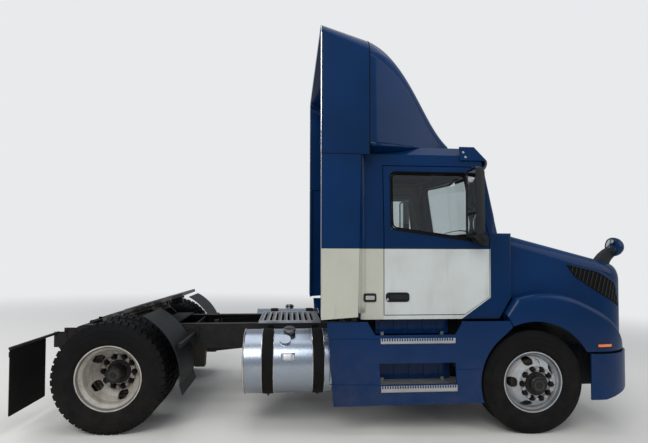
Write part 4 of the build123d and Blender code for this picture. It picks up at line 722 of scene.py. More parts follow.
class TRACTOR_OT_tyres(bpy.types.Operator):
    """Ribbed tyres in front and lugged twin tyres behind"""
    bl_idname = "tractor.tyres"
    bl_label = "Tyres"

    def execute(self, context):
        for name, side in LEFT_RIGHT:
            front = Shape()
            tyre_shape(front, side * FRONT_TRACK, RIBBED_ROWS, size_of("front_pitches"))
            place = Matrix.Translation(on_road(WHEELBASE, 0, TYRE_RADIUS))
            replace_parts(front.make("tread_front_" + name, "tyre_rubber", "wheel_front_" + name, place),
                        "front_tyre_" + name)
            rear = Shape()
            for offset in (-0.5, 0.5):
                middle = side * (REAR_TRACK + offset * DUAL_SPACING)
                tyre_shape(rear, middle, LUGGED_ROWS, size_of("rear_lugs"))
            place = Matrix.Translation(on_road(0, 0, TYRE_RADIUS))
            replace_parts(rear.make("tread_rear_" + name, "tyre_rubber", "wheels_rear_" + name, place),
                        "rear_tyres_" + name)
        return {"FINISHED"}


STUD_CIRCLE, VALVE_CIRCLE = 0.1429, 0.232
# How far the wheel discs stand from the middle of their tyres
FRONT_DISC, REAR_DISC = 0.168, 0.154


class TRACTOR_OT_hubs(bpy.types.Operator):
    """Wheel nuts on their studs, hub caps with their bolts, and valve stems"""
    bl_idname = "tractor.hubs"
    bl_label = "Hubs and nuts"

    def execute(self, context):
        stud = Shape().turned([(0.0105, 0), (0.0105, 0.046), (0.008, 0.048), (POLE, 0.048)], steps=12)
        for name, side in LEFT_RIGHT:
            along = (0, side, 0)
            for where, body, station, disc_y, reach, cap, bolts, circle, lift, size, rise in (
                    ("front", "wheel_front_", WHEELBASE, FRONT_TRACK + FRONT_DISC,
                     0.060, 0.083, 6, 0.089, 0.021, 0.006, 0.02),
                    ("rear", "wheels_rear_", 0.0, REAR_TRACK + DUAL_SPACING / 2 - REAR_DISC,
                     0.150, 0.081, 8, 0.068, 0.150, 0.0085, 0.07)):
                body += name
                face = turn_to(along, (station, side * disc_y, TYRE_RADIUS))
                nuts = Shape()
                for a, b in ring_of(size_of("wheel_nuts"), STUD_CIRCLE):
                    nuts.bolt(face @ Vector((a, b, 0)), along, 0.0215, 0.036)
                    nuts.add(stud.verts, stud.faces, face @ Matrix.Translation((a, b, 0)))
                nuts.make("nuts_%s_%s" % (where, name), "nut_steel", body, GROUND, 0.0012)
                hub = Shape()
                hub.turned([(0.108, 0.004), (0.108, 0.012), (cap + 0.012, 0.014), (cap + 0.012, 0.022),
                            (cap, 0.024), (cap - 0.001, reach - 0.014), (cap - 0.014, reach + 0.001),
                            (cap - 0.028, reach + 0.003), (cap - 0.032, reach - 0.001),
                            (POLE, reach + 0.002)], face, 48)
                for a, b in ring_of(bolts, circle):
                    hub.bolt(face @ Vector((a, b, lift)), along, size)
                hub.make("hub_cap_%s_%s" % (where, name), "hub_metal", body, GROUND, 0.0008)
                stem = ((0, -0.035), (-0.004, rise), (-0.02, rise + 0.03), (-0.045, rise + 0.034))
                valve = Shape().swept([face @ Vector((0, VALVE_CIRCLE + out, up)) for out, up in stem],
                                      0.0042, 8)
                valve.make("valve_%s_%s" % (where, name), "chrome", body, GROUND)
        return {"FINISHED"}


# Openings of the body

def along_outline(outline, step=0.06):
    """Places along a closed outline, about a step apart."""
    for i, (a1, b1) in enumerate(outline):
        a2, b2 = outline[(i + 1) % len(outline)]
        count = max(int(hypot(a2 - a1, b2 - b1) / step), 1)
        for k in range(count):
            yield a1 + (a2 - a1) * k / count, b1 + (b2 - b1) * k / count


def rounded(outline, radius, steps=5):
    """An outline of two numbers a corner with its corners turned into arcs."""
    out = []
    for i, corner in enumerate(outline):
        here = Vector(corner)
        before = Vector(outline[i - 1]) - here
        after = Vector(outline[(i + 1) % len(outline)]) - here
        cut = min(radius / tan(before.angle(after) / 2), before.length * 0.48, after.length * 0.48)
        start, end = here + before.normalized() * cut, here + after.normalized() * cut
        for k in range(steps + 1):
            u = k / steps
            at = start * (1 - u) ** 2 + here * 2 * u * (1 - u) + end * u ** 2
            out.append((at.x, at.y))
    return out


def cab_side(z):
    """Half width of the cab at a height: upright to the belt, then leaning in."""
    return CAB_HALF - max(z - BELT_Z, 0) / BELT_TO_ROOF * CAB_LEAN


def fender_side(x):
    """Half width of the front fender at a station: straight, then round the corner."""
    past = min(max(x - FENDER_CORNER, 0), FENDER_ROUND - 0.0001)
    return FENDER_HALF - FENDER_ROUND + sqrt(FENDER_ROUND ** 2 - past ** 2)


# Outlines of the openings: X and Z of the side window and the door, Y and Z of the windshield
WINDOW = [(2.588, 1.872), (3.452, 1.752), (3.352, 2.432), (2.588, 2.432)]
WINDOW_INSIDE = [(2.606, 1.888), (3.428, 1.774), (3.334, 2.414), (2.606, 2.414)]
DOOR = [(2.508, 1.036), (3.310, 1.036), (3.566, 1.212), (3.566, 1.775), (3.400, 2.500), (2.508, 2.500)]
# Stations of the windshield's pillars and middle at the belt, and how far they lean back up to the roof
PILLAR_X, SCREEN_X = 3.640, 3.890
PILLAR_LEAN, SCREEN_LEAN = 0.140, 0.135
SCREEN = [(-0.985, 1.880), (0.985, 1.880), (0.925, 2.565), (-0.925, 2.565)]


def screen_x(y, z):
    """Station of the bowed windshield's surface at a side place and a height."""
    share = (z - BELT_Z) / BELT_TO_ROOF
    half = CAB_HALF - CAB_LEAN * share
    pillar, middle = PILLAR_X - PILLAR_LEAN * share, SCREEN_X - SCREEN_LEAN * share
    bow = middle - pillar
    radius = (half * half + bow * bow) / (2 * bow)
    return middle - radius + sqrt(radius * radius - y * y)


class TRACTOR_OT_seals(bpy.types.Operator):
    """Rubber round the doors, the side windows, the windshield and the back window"""
    bl_idname = "tractor.seals"
    bl_label = "Window and door seals"

    def execute(self, context):
        for name, side in LEFT_RIGHT:
            window, door = new_shapes(2)
            for shape, outline, corner, depth, radius, flat in (
                    (window, WINDOW, 0.05, 0.004, 0.014, 0.55),
                    (window, WINDOW_INSIDE, 0.05, 0.019, 0.012, 0.5),
                    (door, DOOR, 0.035, 0.036, 0.0095, 1.0)):
                path = [(x, side * (cab_side(z) - depth), z)
                        for x, z in along_outline(rounded(outline, corner))]
                shape.swept(path, radius, 8, True, flat)
            window.make("window_seal_" + name, "seal_rubber", "door_" + name)
            door.make("door_seal_" + name, "seal_rubber")
        path = [(screen_x(y, z) - 0.004, y, z) for y, z in along_outline(rounded(SCREEN, 0.07), 0.05)]
        Shape().swept(path, 0.016, 8, True, 0.6).make("windshield_seal", "seal_rubber")
        path = across(CAB_REAR - 0.006, rounded(rectangle(-0.62, 0.62, 1.88, 2.43), 0.06))
        Shape().swept(path, 0.015, 8, True, 0.6).make("back_window_seal", "seal_rubber")
        return {"FINISHED"}


class TRACTOR_OT_door_fittings(bpy.types.Operator):
    """Door handles in their recesses, locks, and the latches behind the doors"""
    bl_idname = "tractor.door_fittings"
    bl_label = "Door fittings"

    def execute(self, context):
        for name, side in LEFT_RIGHT:
            handle, latch, paddle = new_shapes(3)
            lever = [(2.560, 1.196), (2.748, 1.190), (2.748, 1.232), (2.560, 1.240)]
            for shape, outline, corner, low, high in (
                    (handle, rectangle(2.528, 2.760, 1.166, 1.258), 0.035, -0.004, 0.006),
                    (handle, lever, 0.016, 0.005, 0.030),
                    (latch, rectangle(2.312, 2.436, 1.168, 1.250), 0.02, -0.002, 0.010),
                    (paddle, rectangle(2.330, 2.418, 1.190, 1.228), 0.012, 0.009, 0.018)):
                shape.side_block(rounded(outline, corner), side * (CAB_HALF + low), side * (CAB_HALF + high))
            handle.make("door_handle_" + name, "black_plastic", "door_" + name, bevel=0.003)
            lock = Shape().turned([(0.0125, 0.004), (0.0125, 0.012), (0.010, 0.014), (POLE, 0.014)],
                                  turn_to((0, side, 0), (2.545, side * CAB_HALF, 1.190)), 20)
            lock.make("door_lock_" + name, "chrome", "door_" + name)
            latch.make("side_latch_" + name, "black_plastic", bevel=0.002)
            paddle.make("latch_paddle_" + name, "strap_metal", bevel=0.002)
        return {"FINISHED"}


# Tanks and steps

TANK_Y, TANK_Z, TANK_RADIUS = 0.868, 0.566, 0.308
TANK_REAR, TANK_FRONT = 1.165, 2.010
STRAPS = (1.402, 1.882)


class TRACTOR_OT_tank_fittings(bpy.types.Operator):
    """Rubber bands with bright edges below the straps, rolled end seams, filler caps and blank plates"""
    bl_idname = "tractor.tank_fittings"
    bl_label = "Tank fittings"

    def execute(self, context):
        bands, seams, caps, plates, rims = new_shapes(5)
        along = turn_to((1, 0, 0), (0, TANK_Y, TANK_Z))
        skin = TANK_RADIUS + 0.002
        for x in STRAPS:
            bands.turned([(TANK_RADIUS - 0.002, x - 0.054), (TANK_RADIUS + 0.004, x - 0.052),
                          (TANK_RADIUS + 0.004, x + 0.052), (TANK_RADIUS - 0.002, x + 0.054)], along, 96)
            for edge in (-0.055, 0.055):
                rims.swept([(x + edge, TANK_Y + a, TANK_Z + b) for a, b in ring_of(96, skin)], 0.0035, 6,
                           True)
            caps.bolt((x, TANK_Y - 0.19, TANK_Z + 0.262), (0, 0.3, 1), 0.012, 0.02)
            caps.bolt((x, TANK_Y + 0.06, TANK_Z - 0.312), (0, 0.1, -1), 0.011, 0.018)
        for x in (TANK_REAR + 0.010, TANK_FRONT - 0.010):
            seams.swept([(x, TANK_Y + a, TANK_Z + b) for a, b in ring_of(96, TANK_RADIUS)], 0.007, 8, True)
        lean = radians(66)
        out = Vector((0, cos(lean), sin(lean)))
        neck = turn_to(out, Vector((1.607, TANK_Y, TANK_Z)) + out * (TANK_RADIUS - 0.004))
        caps.turned([(0.058, 0), (0.058, 0.008), (0.044, 0.012), (0.044, 0.030), (0.055, 0.032),
                     (0.057, 0.036), (0.057, 0.060), (0.052, 0.066), (0.020, 0.067), (0.018, 0.062),
                     (POLE, 0.062)], neck, 40)
        for a, b in ring_of(16, 0.0565):
            grip = Shape().block((-0.003, 0.003), (-0.003, 0.003), (0.038, 0.059))
            caps.add(grip.verts, grip.faces, neck @ Matrix.Translation((a, b, 0)))
        bar = Shape().block((-0.040, 0.040), (-0.006, 0.006), (0.066, 0.074))
        caps.add(bar.verts, bar.faces, neck)
        plates.sheet([[(1.529 + 0.131 * k / 3, TANK_Y + skin * cos(t), TANK_Z + skin * sin(t))
                       for k in range(4)] for t in (0.20, 0.25, 0.31, 0.37, 0.43)])
        both_sides(bands, seams, caps, plates)
        bands.make("strap_rubbers", "seal_rubber")
        seams.make("tank_seams", "strap_metal")
        rims.mirrored().make("strap_edges", "strap_metal")
        caps.make("tank_caps", "cap_metal", bevel=0.0008)
        thickened(plates.make("tank_plates", "tread_metal"), 0.0015)
        return {"FINISHED"}


class TRACTOR_OT_step_nosings(bpy.types.Operator):
    """Notched step edges, teeth on treads and deck, ribbed backs of the steps, and the skirts' folds"""
    bl_idname = "tractor.step_nosings"
    bl_label = "Steps and deck"

    def execute(self, context):
        edge, teeth, wells, folds, notches = new_shapes(5)
        for x_low, x_high, low, high in ((2.459, 3.176, 0.781, 0.834), (2.463, 3.192, 0.330, 0.392)):
            lip = [(SKIRT_Y - 0.055, high - 0.004), (SKIRT_Y + 0.004, high), (SKIRT_Y + 0.010, high - 0.006),
                   (SKIRT_Y + 0.010, low + 0.006), (SKIRT_Y + 0.004, low), (SKIRT_Y - 0.002, low),
                   (SKIRT_Y - 0.002, high - 0.012), (SKIRT_Y - 0.055, high - 0.014)]
            edge.sheet([across(x, lip) for x in (x_low, x_high)], False, True)
            edge.lid(8, 8)
            edge.lid(8, 0, True)
            for k in range(int((x_high - x_low - 0.06) / 0.046)):
                x = x_low + 0.05 + k * 0.046
                for row, y in enumerate((SKIRT_Y - 0.034, SKIRT_Y - 0.012)):
                    teeth.turned([(0.0095, -0.002), (0.0085, 0.004), (0.0055, 0.0052), (0.0045, 0.0018)],
                                 Matrix.Translation((x + 0.023 * row, y, high - 0.005)), 14)
            for k in range(int((x_high - x_low) / 0.024)):
                x = x_low + 0.008 + k * 0.024
                notches.block((x, x + 0.013), (SKIRT_Y - 0.004, SKIRT_Y + 0.0112),
                              (high - 0.024, high - 0.001))
        for top in (0.822, 0.384):
            for y in (1.017, 1.069, 1.119, 1.169):
                for k in range(34):
                    x = 2.480 + k * 0.0203
                    teeth.block((x, x + 0.008), (y - 0.008, y + 0.008), (top - 0.001, top + 0.0045))
        for k in range(10):
            x = 1.290 + k * 0.066
            for side in range(-9, 10):
                y = side * 0.038 + (0.019 if k % 2 else 0)
                teeth.swept([(x - 0.010, y - 0.008, DECK_TOP), (x + 0.010, y + 0.008, DECK_TOP)], 0.0035, 6,
                            flat=0.8)
        back = SKIRT_Y - 0.200
        for x_low, x_high, low, high in ((2.448, 3.190, 0.398, 0.770), (2.448, 3.176, 0.845, 1.000)):
            wells.block((x_low, x_high), (back - 0.006, back), (low, high))
            for k in range(5):
                x = x_low + (x_high - x_low) * (k + 0.5) / 5
                wells.block((x - 0.040, x + 0.040), (back - 0.004, back + 0.008), (low + 0.02, high - 0.02))
        for crease in ([(1.985, 0.418), (2.448, 0.404)], [(1.985, 0.836), (2.440, 0.830)],
                       [(3.196, 0.536), (3.420, 0.536)]):
            folds.swept([(x, SKIRT_Y + 0.0005, z) for x, z in crease], 0.0045, 6)
        both_sides(edge, teeth, wells, folds)
        edge.make("step_edges", "tread_metal", bevel=0.0012)
        teeth.make("grip_teeth", "tread_metal")
        wells.make("step_wells", "body_paint", bevel=0.003)
        folds.make("skirt_folds", "body_paint")
        notches.mirrored().make("edge_notches", "body_paint")
        return {"FINISHED"}


# Lamps and mirrors

def borrowed(node, shift):
    """A copy of one of the frame's nodes as a shape, moved by a shift whose Y is outward on each side."""
    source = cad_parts[node]
    shape = Shape()
    verts = []
    for vert in source.data.vertices:
        at = source.matrix_world @ vert.co
        side = 1 if at.y > 0 else -1
        verts.append((at.x + shift[0], at.y + side * shift[1], at.z + shift[2]))
    shape.add(verts, [tuple(face.vertices) for face in source.data.polygons])
    return shape


class TRACTOR_OT_lamps(bpy.types.Operator):
    """Headlamp bowls, amber side markers, fog lamps, and the red lamps behind"""
    bl_idname = "tractor.lamps"
    bl_label = "Lamps"

    def execute(self, context):
        borrowed("headlamps", (-0.013, -0.010, -0.011)).make("lamp_beds", "lamp_bed", "hood", Matrix())
        amber, rims = new_shapes(2)
        for x_low, x_high, low, high, shape, out in ((4.608, 4.775, 0.717, 0.757, rims, 0.004),
                                                     (4.616, 4.767, 0.723, 0.751, amber, 0.009)):
            rows = []
            for k in range(9):
                x = x_low + (x_high - x_low) * k / 8
                y = fender_side(x)
                tip = 0.35 if k in (0, 8) else 1.0
                middle, half = (low + high) / 2, (high - low) / 2
                rows.append([(x, y - 0.004, middle - half), (x, y + out * tip, middle - half * 0.85),
                             (x, y + out * tip, middle + half * 0.85), (x, y - 0.004, middle + half)])
            shape.sheet(rows, False, True)
        both_sides(amber, rims)
        amber.make("side_markers", "amber_lens", "hood", bevel=0.001)
        rims.make("marker_rims", "black_plastic", "hood")
        bezel, lens = new_shapes(2)
        for y in (0.62, -0.62):
            place = turn_to((1, 0, 0), (5.152, y, 0.50))
            bezel.turned([(0.058, -0.01), (0.058, 0.012), (0.048, 0.014), (0.046, -0.004), (POLE, -0.012)],
                         place, 32)
            lens.turned([(0.046, 0.001), (0.040, 0.009), (0.020, 0.013), (POLE, 0.014)], place, 32)
        bezel.make("fog_bezels", "black_plastic")
        lens.make("fog_lenses", "lamp_lens")
        red, ring, bar = new_shapes(3)
        rear = -0.8305
        middle = RAIL_TOP - RAIL_HEIGHT + 0.071
        for y in (-0.350, -0.250, 0.250, 0.350):
            place = turn_to((-1, 0, 0), (-0.830, y, middle))
            ring.turned([(0.047, -0.002), (0.047, 0.014), (0.042, 0.018), (0.040, 0.012)], place, 32)
            red.turned([(0.041, 0.010), (0.038, 0.019), (0.026, 0.0245), (0.012, 0.0265), (POLE, 0.027)],
                       place, 32)
        bar.block((rear, rear + 0.0302), (-0.415, 0.415), (middle - 0.055, middle + 0.055))
        bar.block((-0.836, -0.829), (-0.155, 0.155), (middle - 0.070, middle + 0.085))
        for y in (-0.12, 0.12):
            bar.bolt((-0.836, y, middle + 0.066), (-1, 0, 0), 0.006)
        for y in (-0.40, -0.30, -0.20, 0.20, 0.30, 0.40):
            bar.bolt((rear, y, middle - 0.030), (-1, 0, 0), 0.0065)
        red.make("tail_lenses", "red_lens")
        ring.make("tail_rings", "seal_rubber")
        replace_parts(bar.make("tail_bar", "frame_paint", bevel=0.003), "tail_lamps")
        return {"FINISHED"}


class TRACTOR_OT_mirrors(bpy.types.Operator):
    """Door mirrors with two glasses each, and the hood mirrors on their thick black horns"""
    bl_idname = "tractor.mirrors"
    bl_label = "Mirrors"

    def execute(self, context):
        for name, side in LEFT_RIGHT:
            case, glass, arms = new_shapes(3)
            rear = 3.298
            rows = []
            for x, grow in ((rear, -0.004), (3.302, 0.0), (3.330, 0.004), (3.366, -0.006), (3.392, -0.026),
                            (3.404, -0.060), (3.408, -0.100)):
                frame_of = rectangle(1.190 - grow, 1.440 + min(grow, 0), 1.790 - grow, 2.436 + grow)
                rows.append(across(x, rounded(frame_of, 0.045), side))
            case.sheet(rows, False, True)
            case.lid(len(rows[0]))
            back = rounded(rectangle(1.206, 1.426, 1.806, 2.420), 0.036)
            case.sheet([rows[0], across(rear, back, side), across(rear + 0.012, back, side)], False, True)
            case.lid(len(back))
            for low, high in ((2.018, 2.410), (1.816, 1.998)):
                pane = rounded(rectangle(1.214, 1.418, low, high), 0.03)
                bulge = 0.004 if low > 2 else 0.012
                middle = Vector((1.316, (low + high) / 2))
                rows = []
                for share in (1.0, 0.75, 0.5, 0.25, 0.02):
                    ring = [middle + (Vector(corner) - middle) * share for corner in pane]
                    rows.append(across(3.3075 - bulge * (1 - share * share) * 0.6, ring, side))
                glass.sheet(rows, False, True)
            arms.swept([(3.384, side * 1.100, 2.392), (3.372, side * 1.150, 2.402),
                        (3.352, side * 1.215, 2.404)], 0.017, 12, flat=0.8)
            foot = [(3.380, 1.744), (3.546, 1.700), (3.546, 1.800), (3.440, 1.860), (3.380, 1.840)]
            arms.side_block(rounded(foot, 0.03), side * (CAB_HALF - 0.004), side * (CAB_HALF + 0.030))
            rows = []
            for x, y, z, wide, tall in ((3.470, 1.150, 1.770, 0.052, 0.045),
                                        (3.440, 1.190, 1.785, 0.046, 0.040),
                                        (3.400, 1.240, 1.802, 0.040, 0.034),
                                        (3.362, 1.300, 1.812, 0.036, 0.028)):
                rows.append([(x + wide * a, side * (y + 0.35 * wide * a), z + tall * b)
                             for a, b in ring_of(14, 1)])
            arms.sheet(rows, False, True)
            arms.lid(14, 14 * (len(rows) - 1))
            arms.lid(14)
            piece = case.make("mirror_case_" + name, "black_plastic", "door_" + name, bevel=0.003)
            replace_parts(piece, "mirror_" + name)
            glass.make("mirror_glass_" + name, "mirror_face", "door_" + name)
            arms.make("mirror_arms_" + name, "black_plastic", "door_" + name, bevel=0.004)
        horns, heads, faces = new_shapes(3)
        rows = []
        for x, y, z, wide, tall, lean in ((4.852, 0.900, 1.478, 0.118, 0.050, 0.0),
                                          (4.862, 0.901, 1.518, 0.100, 0.046, 0.1),
                                          (4.880, 0.902, 1.560, 0.088, 0.044, 0.2),
                                          (4.912, 0.903, 1.604, 0.074, 0.040, 0.4),
                                          (4.952, 0.904, 1.640, 0.062, 0.038, 0.6),
                                          (4.992, 0.905, 1.668, 0.050, 0.036, 0.8)):
            rows.append([(x + wide * a, y + tall * b, z - wide * a * lean) for a, b in ring_of(20, 1)])
        horns.sheet(rows, False, True)
        horns.lid(20)
        head = turn_to((1, 0, 0.05), (4.995, 0.905, 1.708))
        heads.turned([(0.086, -0.012), (0.096, -0.004), (0.100, 0.010), (0.098, 0.034), (0.088, 0.062),
                      (0.068, 0.088), (0.038, 0.104), (POLE, 0.110)], head, 40)
        heads.turned([(0.086, -0.012), (0.084, -0.002), (POLE, -0.001)], head, 40)
        faces.turned([(0.084, -0.006), (0.060, -0.011), (0.030, -0.014), (POLE, -0.015)], head, 40)
        both_sides(horns, heads, faces)
        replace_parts(horns.make("hood_horns", "black_plastic", "hood"), "hood_mirrors")
        heads.make("hood_mirror_heads", "body_paint", "hood")
        faces.make("hood_mirror_faces", "mirror_face", "hood")
        return {"FINISHED"}


# Inside the cab

SEAT_X, SEAT_Y = 2.81, 0.51


def pad(size, crown, bolster, channels, cells=22):
    """A crowned cushion about its middle, with sides that pull in and seams that sink across its top."""
    shape = Shape()
    for axis in range(3):
        for end in (-1, 1):
            rows = []
            for i in range(cells + 1):
                row = []
                for j in range(cells + 1):
                    a, b = 2 * i / cells - 1, 2 * j / cells - 1
                    at = [0, 0, 0]
                    at[axis], at[(axis + 1) % 3], at[(axis + 2) % 3] = end, a, b
                    norm = sum(abs(v) ** 7 for v in at) ** (1 / 7)
                    u, v, w = (k / norm for k in at)
                    top = max(w, 0)
                    rise = crown * (1 - u * u) * (1 - v * v)
                    rise += bolster * max(abs(v) - 0.45, 0) ** 1.5 * (1 - u ** 4)
                    groove = sum(0.009 * exp(-((u - c) / 0.035) ** 2) for c in channels) * (abs(v) < 0.66)
                    groove += 0.010 * exp(-((abs(v) - 0.66) / 0.035) ** 2)
                    row.append((size[0] / 2 * u * (1 - 0.05 * (1 - v * v) * (1 - w * w)),
                                size[1] / 2 * v * (1 - 0.05 * (1 - u * u) * (1 - w * w)),
                                size[2] / 2 * w + (rise - groove) * top))
                rows.append(row)
            shape.sheet(rows)
    return shape


class TRACTOR_OT_seats(bpy.types.Operator):
    """Two padded seats with bolsters and sewn channels on bellows bases, their armrests and belts"""
    bl_idname = "tractor.seats"
    bl_label = "Seats"

    def execute(self, context):
        bases, belts, arms = new_shapes(3)
        for name, side in LEFT_RIGHT:
            y = side * SEAT_Y
            lean = Matrix.Rotation(radians(-6.4), 4, "Y")
            upright = Matrix.Rotation(radians(90), 4, "Y")
            for part, size, crown, bolster, channels, place in (
                    ("cushion", (0.515, 0.495, 0.115), 0.012, 0.05, (-0.45, 0.0, 0.45),
                     Matrix.Translation((2.820, y, 1.492))),
                    ("back", (0.690, 0.465, 0.100), 0.010, 0.05, (-0.5, -0.15, 0.2, 0.55),
                     Matrix.Translation((2.590, y, 1.885)) @ lean @ upright),
                    ("headrest", (0.145, 0.255, 0.085), 0.008, 0.0, (),
                     Matrix.Translation((2.530, y, 2.325)) @ lean @ upright)):
                piece = pad(size, crown, bolster, channels).make(
                    "seat_%s_%s" % (part, name), "seat_fabric", place=STANCE @ place, smooth=radians(60))
                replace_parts(piece, "seats")
            for half, low, high in ((0.20, 1.058, 1.085), (0.215, 1.385, 1.428)):
                bases.block((SEAT_X - half, SEAT_X + half), (y - half * 0.95, y + half * 0.95), (low, high))
            corners = ((-1, -0.8), (-0.8, -1), (0.8, -1), (1, -0.8), (1, 0.8), (0.8, 1), (-0.8, 1), (-1, 0.8))
            rows = []
            for k in range(15):
                half = 0.175 if k % 2 else 0.150
                z = 1.085 + k * 0.300 / 14
                rows.append([(SEAT_X + half * a, y + half * 0.95 * b, z) for a, b in corners])
            bases.sheet(rows, False, True)
            for dy in (-0.05, 0.05):
                bases.swept([(2.548, y + dy, 2.225), (2.536, y + dy, 2.275)], 0.006, 8)
            inner = y - side * 0.275
            arms.block((2.62, 2.90), (inner - side * 0.030, inner + side * 0.018), (1.640, 1.672))
            arms.turned([(POLE, -0.020), (0.026, -0.018), (0.026, 0.018), (POLE, 0.020)],
                        turn_to((0, side, 0), (2.625, inner - side * 0.006, 1.655)), 20)
            belts.swept([(2.545, side * 1.045, 2.250), (2.550, side * 1.040, 1.900),
                         (2.560, side * 1.030, 1.500), (2.580, side * 1.020, 1.180)], 0.023, 8, flat=0.08)
            belts.block((2.525, 2.565), (side * 1.040, side * 1.062), (2.225, 2.285))
            belts.block((2.545, 2.615), (side * 1.000, side * 1.045), (1.090, 1.190))
            belts.block((2.690, 2.735), (y - side * 0.285, y - side * 0.262), (1.500, 1.600))
        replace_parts(bases.make("seat_bases", "dark_trim", bevel=0.003), "seats")
        arms.make("seat_armrests", "dark_trim", bevel=0.006)
        belts.make("seat_belts", "black_plastic", bevel=0.0015)
        return {"FINISHED"}


class TRACTOR_OT_controls(bpy.types.Operator):
    """Gauges, air vents, switches, pedals, gear lever, stalks and the steering wheel's pad"""
    bl_idname = "tractor.controls"
    bl_label = "Controls"

    def execute(self, context):
        rims, faces, marks, switches, frames, pedals = new_shapes(6)
        towards = Vector((-0.985, 0, 0.175))
        for y, z, radius in ((0.440, 1.748, 0.044), (0.580, 1.748, 0.044), (0.352, 1.765, 0.021),
                             (0.352, 1.718, 0.021), (0.510, 1.718, 0.017), (0.668, 1.765, 0.021),
                             (0.668, 1.718, 0.021)):
            place = turn_to(towards, (3.383 + (z - 1.69) * 0.18, y, z))
            rims.turned([(radius, -0.002), (radius, 0.008), (radius - 0.003, 0.010), (radius - 0.004, 0.003)],
                        place, 32)
            faces.turned([(radius - 0.003, 0.003), (POLE, 0.003)], place, 32)
            for k in range(21):
                t = radians(-135 + 13.5 * k)
                length = 0.18 if k % 5 == 0 else 0.10
                a, b = radius * 0.84, radius * (0.84 - length)
                marks.swept([place @ Vector((a * cos(t), a * sin(t), 0.0036)),
                             place @ Vector((b * cos(t), b * sin(t), 0.0036))], 0.0007, 4)
            marks.swept([place @ Vector((0, 0, 0.005)),
                         place @ Vector((-radius * 0.55, radius * 0.5, 0.005))], 0.0012, 4)
        frame_x = (3.395, 3.416)
        for y in (-0.93, -0.30, 0.24, 0.93):
            for z in (1.640, 1.690):
                frames.block(frame_x, (y - 0.085, y + 0.085), (z - 0.003, z + 0.003))
            for dy in (-0.085, 0.085):
                frames.block(frame_x, (y + dy - 0.003, y + dy + 0.003), (1.640, 1.690))
            for k in range(4):
                frames.block((3.399, 3.414), (y - 0.083, y + 0.083), (1.648 + k * 0.010, 1.650 + k * 0.010))
        frames.block((3.398, 3.412), (-0.200, 0.140), (1.505, 1.690))
        for row in range(3):
            for k in range(8):
                y = -0.170 + k * 0.040
                switches.block((3.390, 3.399), (y - 0.015, y + 0.015),
                               (1.520 + row * 0.032, 1.545 + row * 0.032))
        switches.block((3.392, 3.399), (-0.170, 0.110), (1.622, 1.672))
        for y in (-0.150, 0.090):
            switches.turned([(0.012, 0), (0.011, 0.012), (POLE, 0.013)],
                            turn_to((-1, 0, 0), (3.392, y, 1.647)), 20)
        frames.block((3.397, 3.4005), (-0.950, -0.420), (1.500, 1.625))
        switches.block((3.390, 3.397), (-0.715, -0.655), (1.600, 1.612))
        for y, low, wide in ((0.405, 1.210, 0.035), (0.520, 1.200, 0.030), (0.640, 1.190, 0.026)):
            pedals.block((3.430, 3.442), (y - wide, y + wide), (low, low + 0.100))
            for k in range(5):
                rib = low + 0.010 + k * 0.018
                pedals.block((3.424, 3.431), (y - wide * 0.9, y + wide * 0.9), (rib, rib + 0.008))
            pedals.swept([(3.438, y, low + 0.080), (3.500, y, low + 0.180), (3.560, y, 1.420)], 0.008, 8)
        pedals.turned([(0.060, 0.0), (0.050, 0.020), (0.044, 0.022), (0.036, 0.050), (0.030, 0.052),
                       (0.020, 0.085), (0.008, 0.090), (0.007, 0.290), (0.014, 0.300), (0.024, 0.320),
                       (0.026, 0.345), (0.018, 0.365), (POLE, 0.370)],
                      turn_to((0.08, 0, 1), (3.060, 0.110, 1.060)), 28)
        for side in SIDES:
            pedals.swept([(3.300, SEAT_Y + side * 0.035, 1.700), (3.296, SEAT_Y + side * 0.105, 1.716),
                          (3.290, SEAT_Y + side * 0.165, 1.730)], 0.007, 8)
        rims.make("gauge_rims", "chrome")
        faces.make("gauge_faces", "seal_rubber")
        marks.make("gauge_marks", "white_marks")
        frames.make("dash_frames", "dark_trim", bevel=0.001)
        switches.make("switches", "black_plastic", bevel=0.0015)
        pedals.make("pedals_and_lever", "dark_trim", bevel=0.001)
        wheel_place = turn_to((-0.654, 0, 0.757), (3.262, SEAT_Y, 1.716))
        boss = Shape().turned([(0.079, 0.020), (0.081, 0.034), (0.070, 0.044), (0.040, 0.050), (POLE, 0.051)],
                              wheel_place, 36)
        boss.turned([(0.058, 0.0475), (0.056, 0.0492), (0.054, 0.0478)], wheel_place, 36)
        boss.make("wheel_pad", "black_plastic", "steering_wheel")
        return {"FINISHED"}


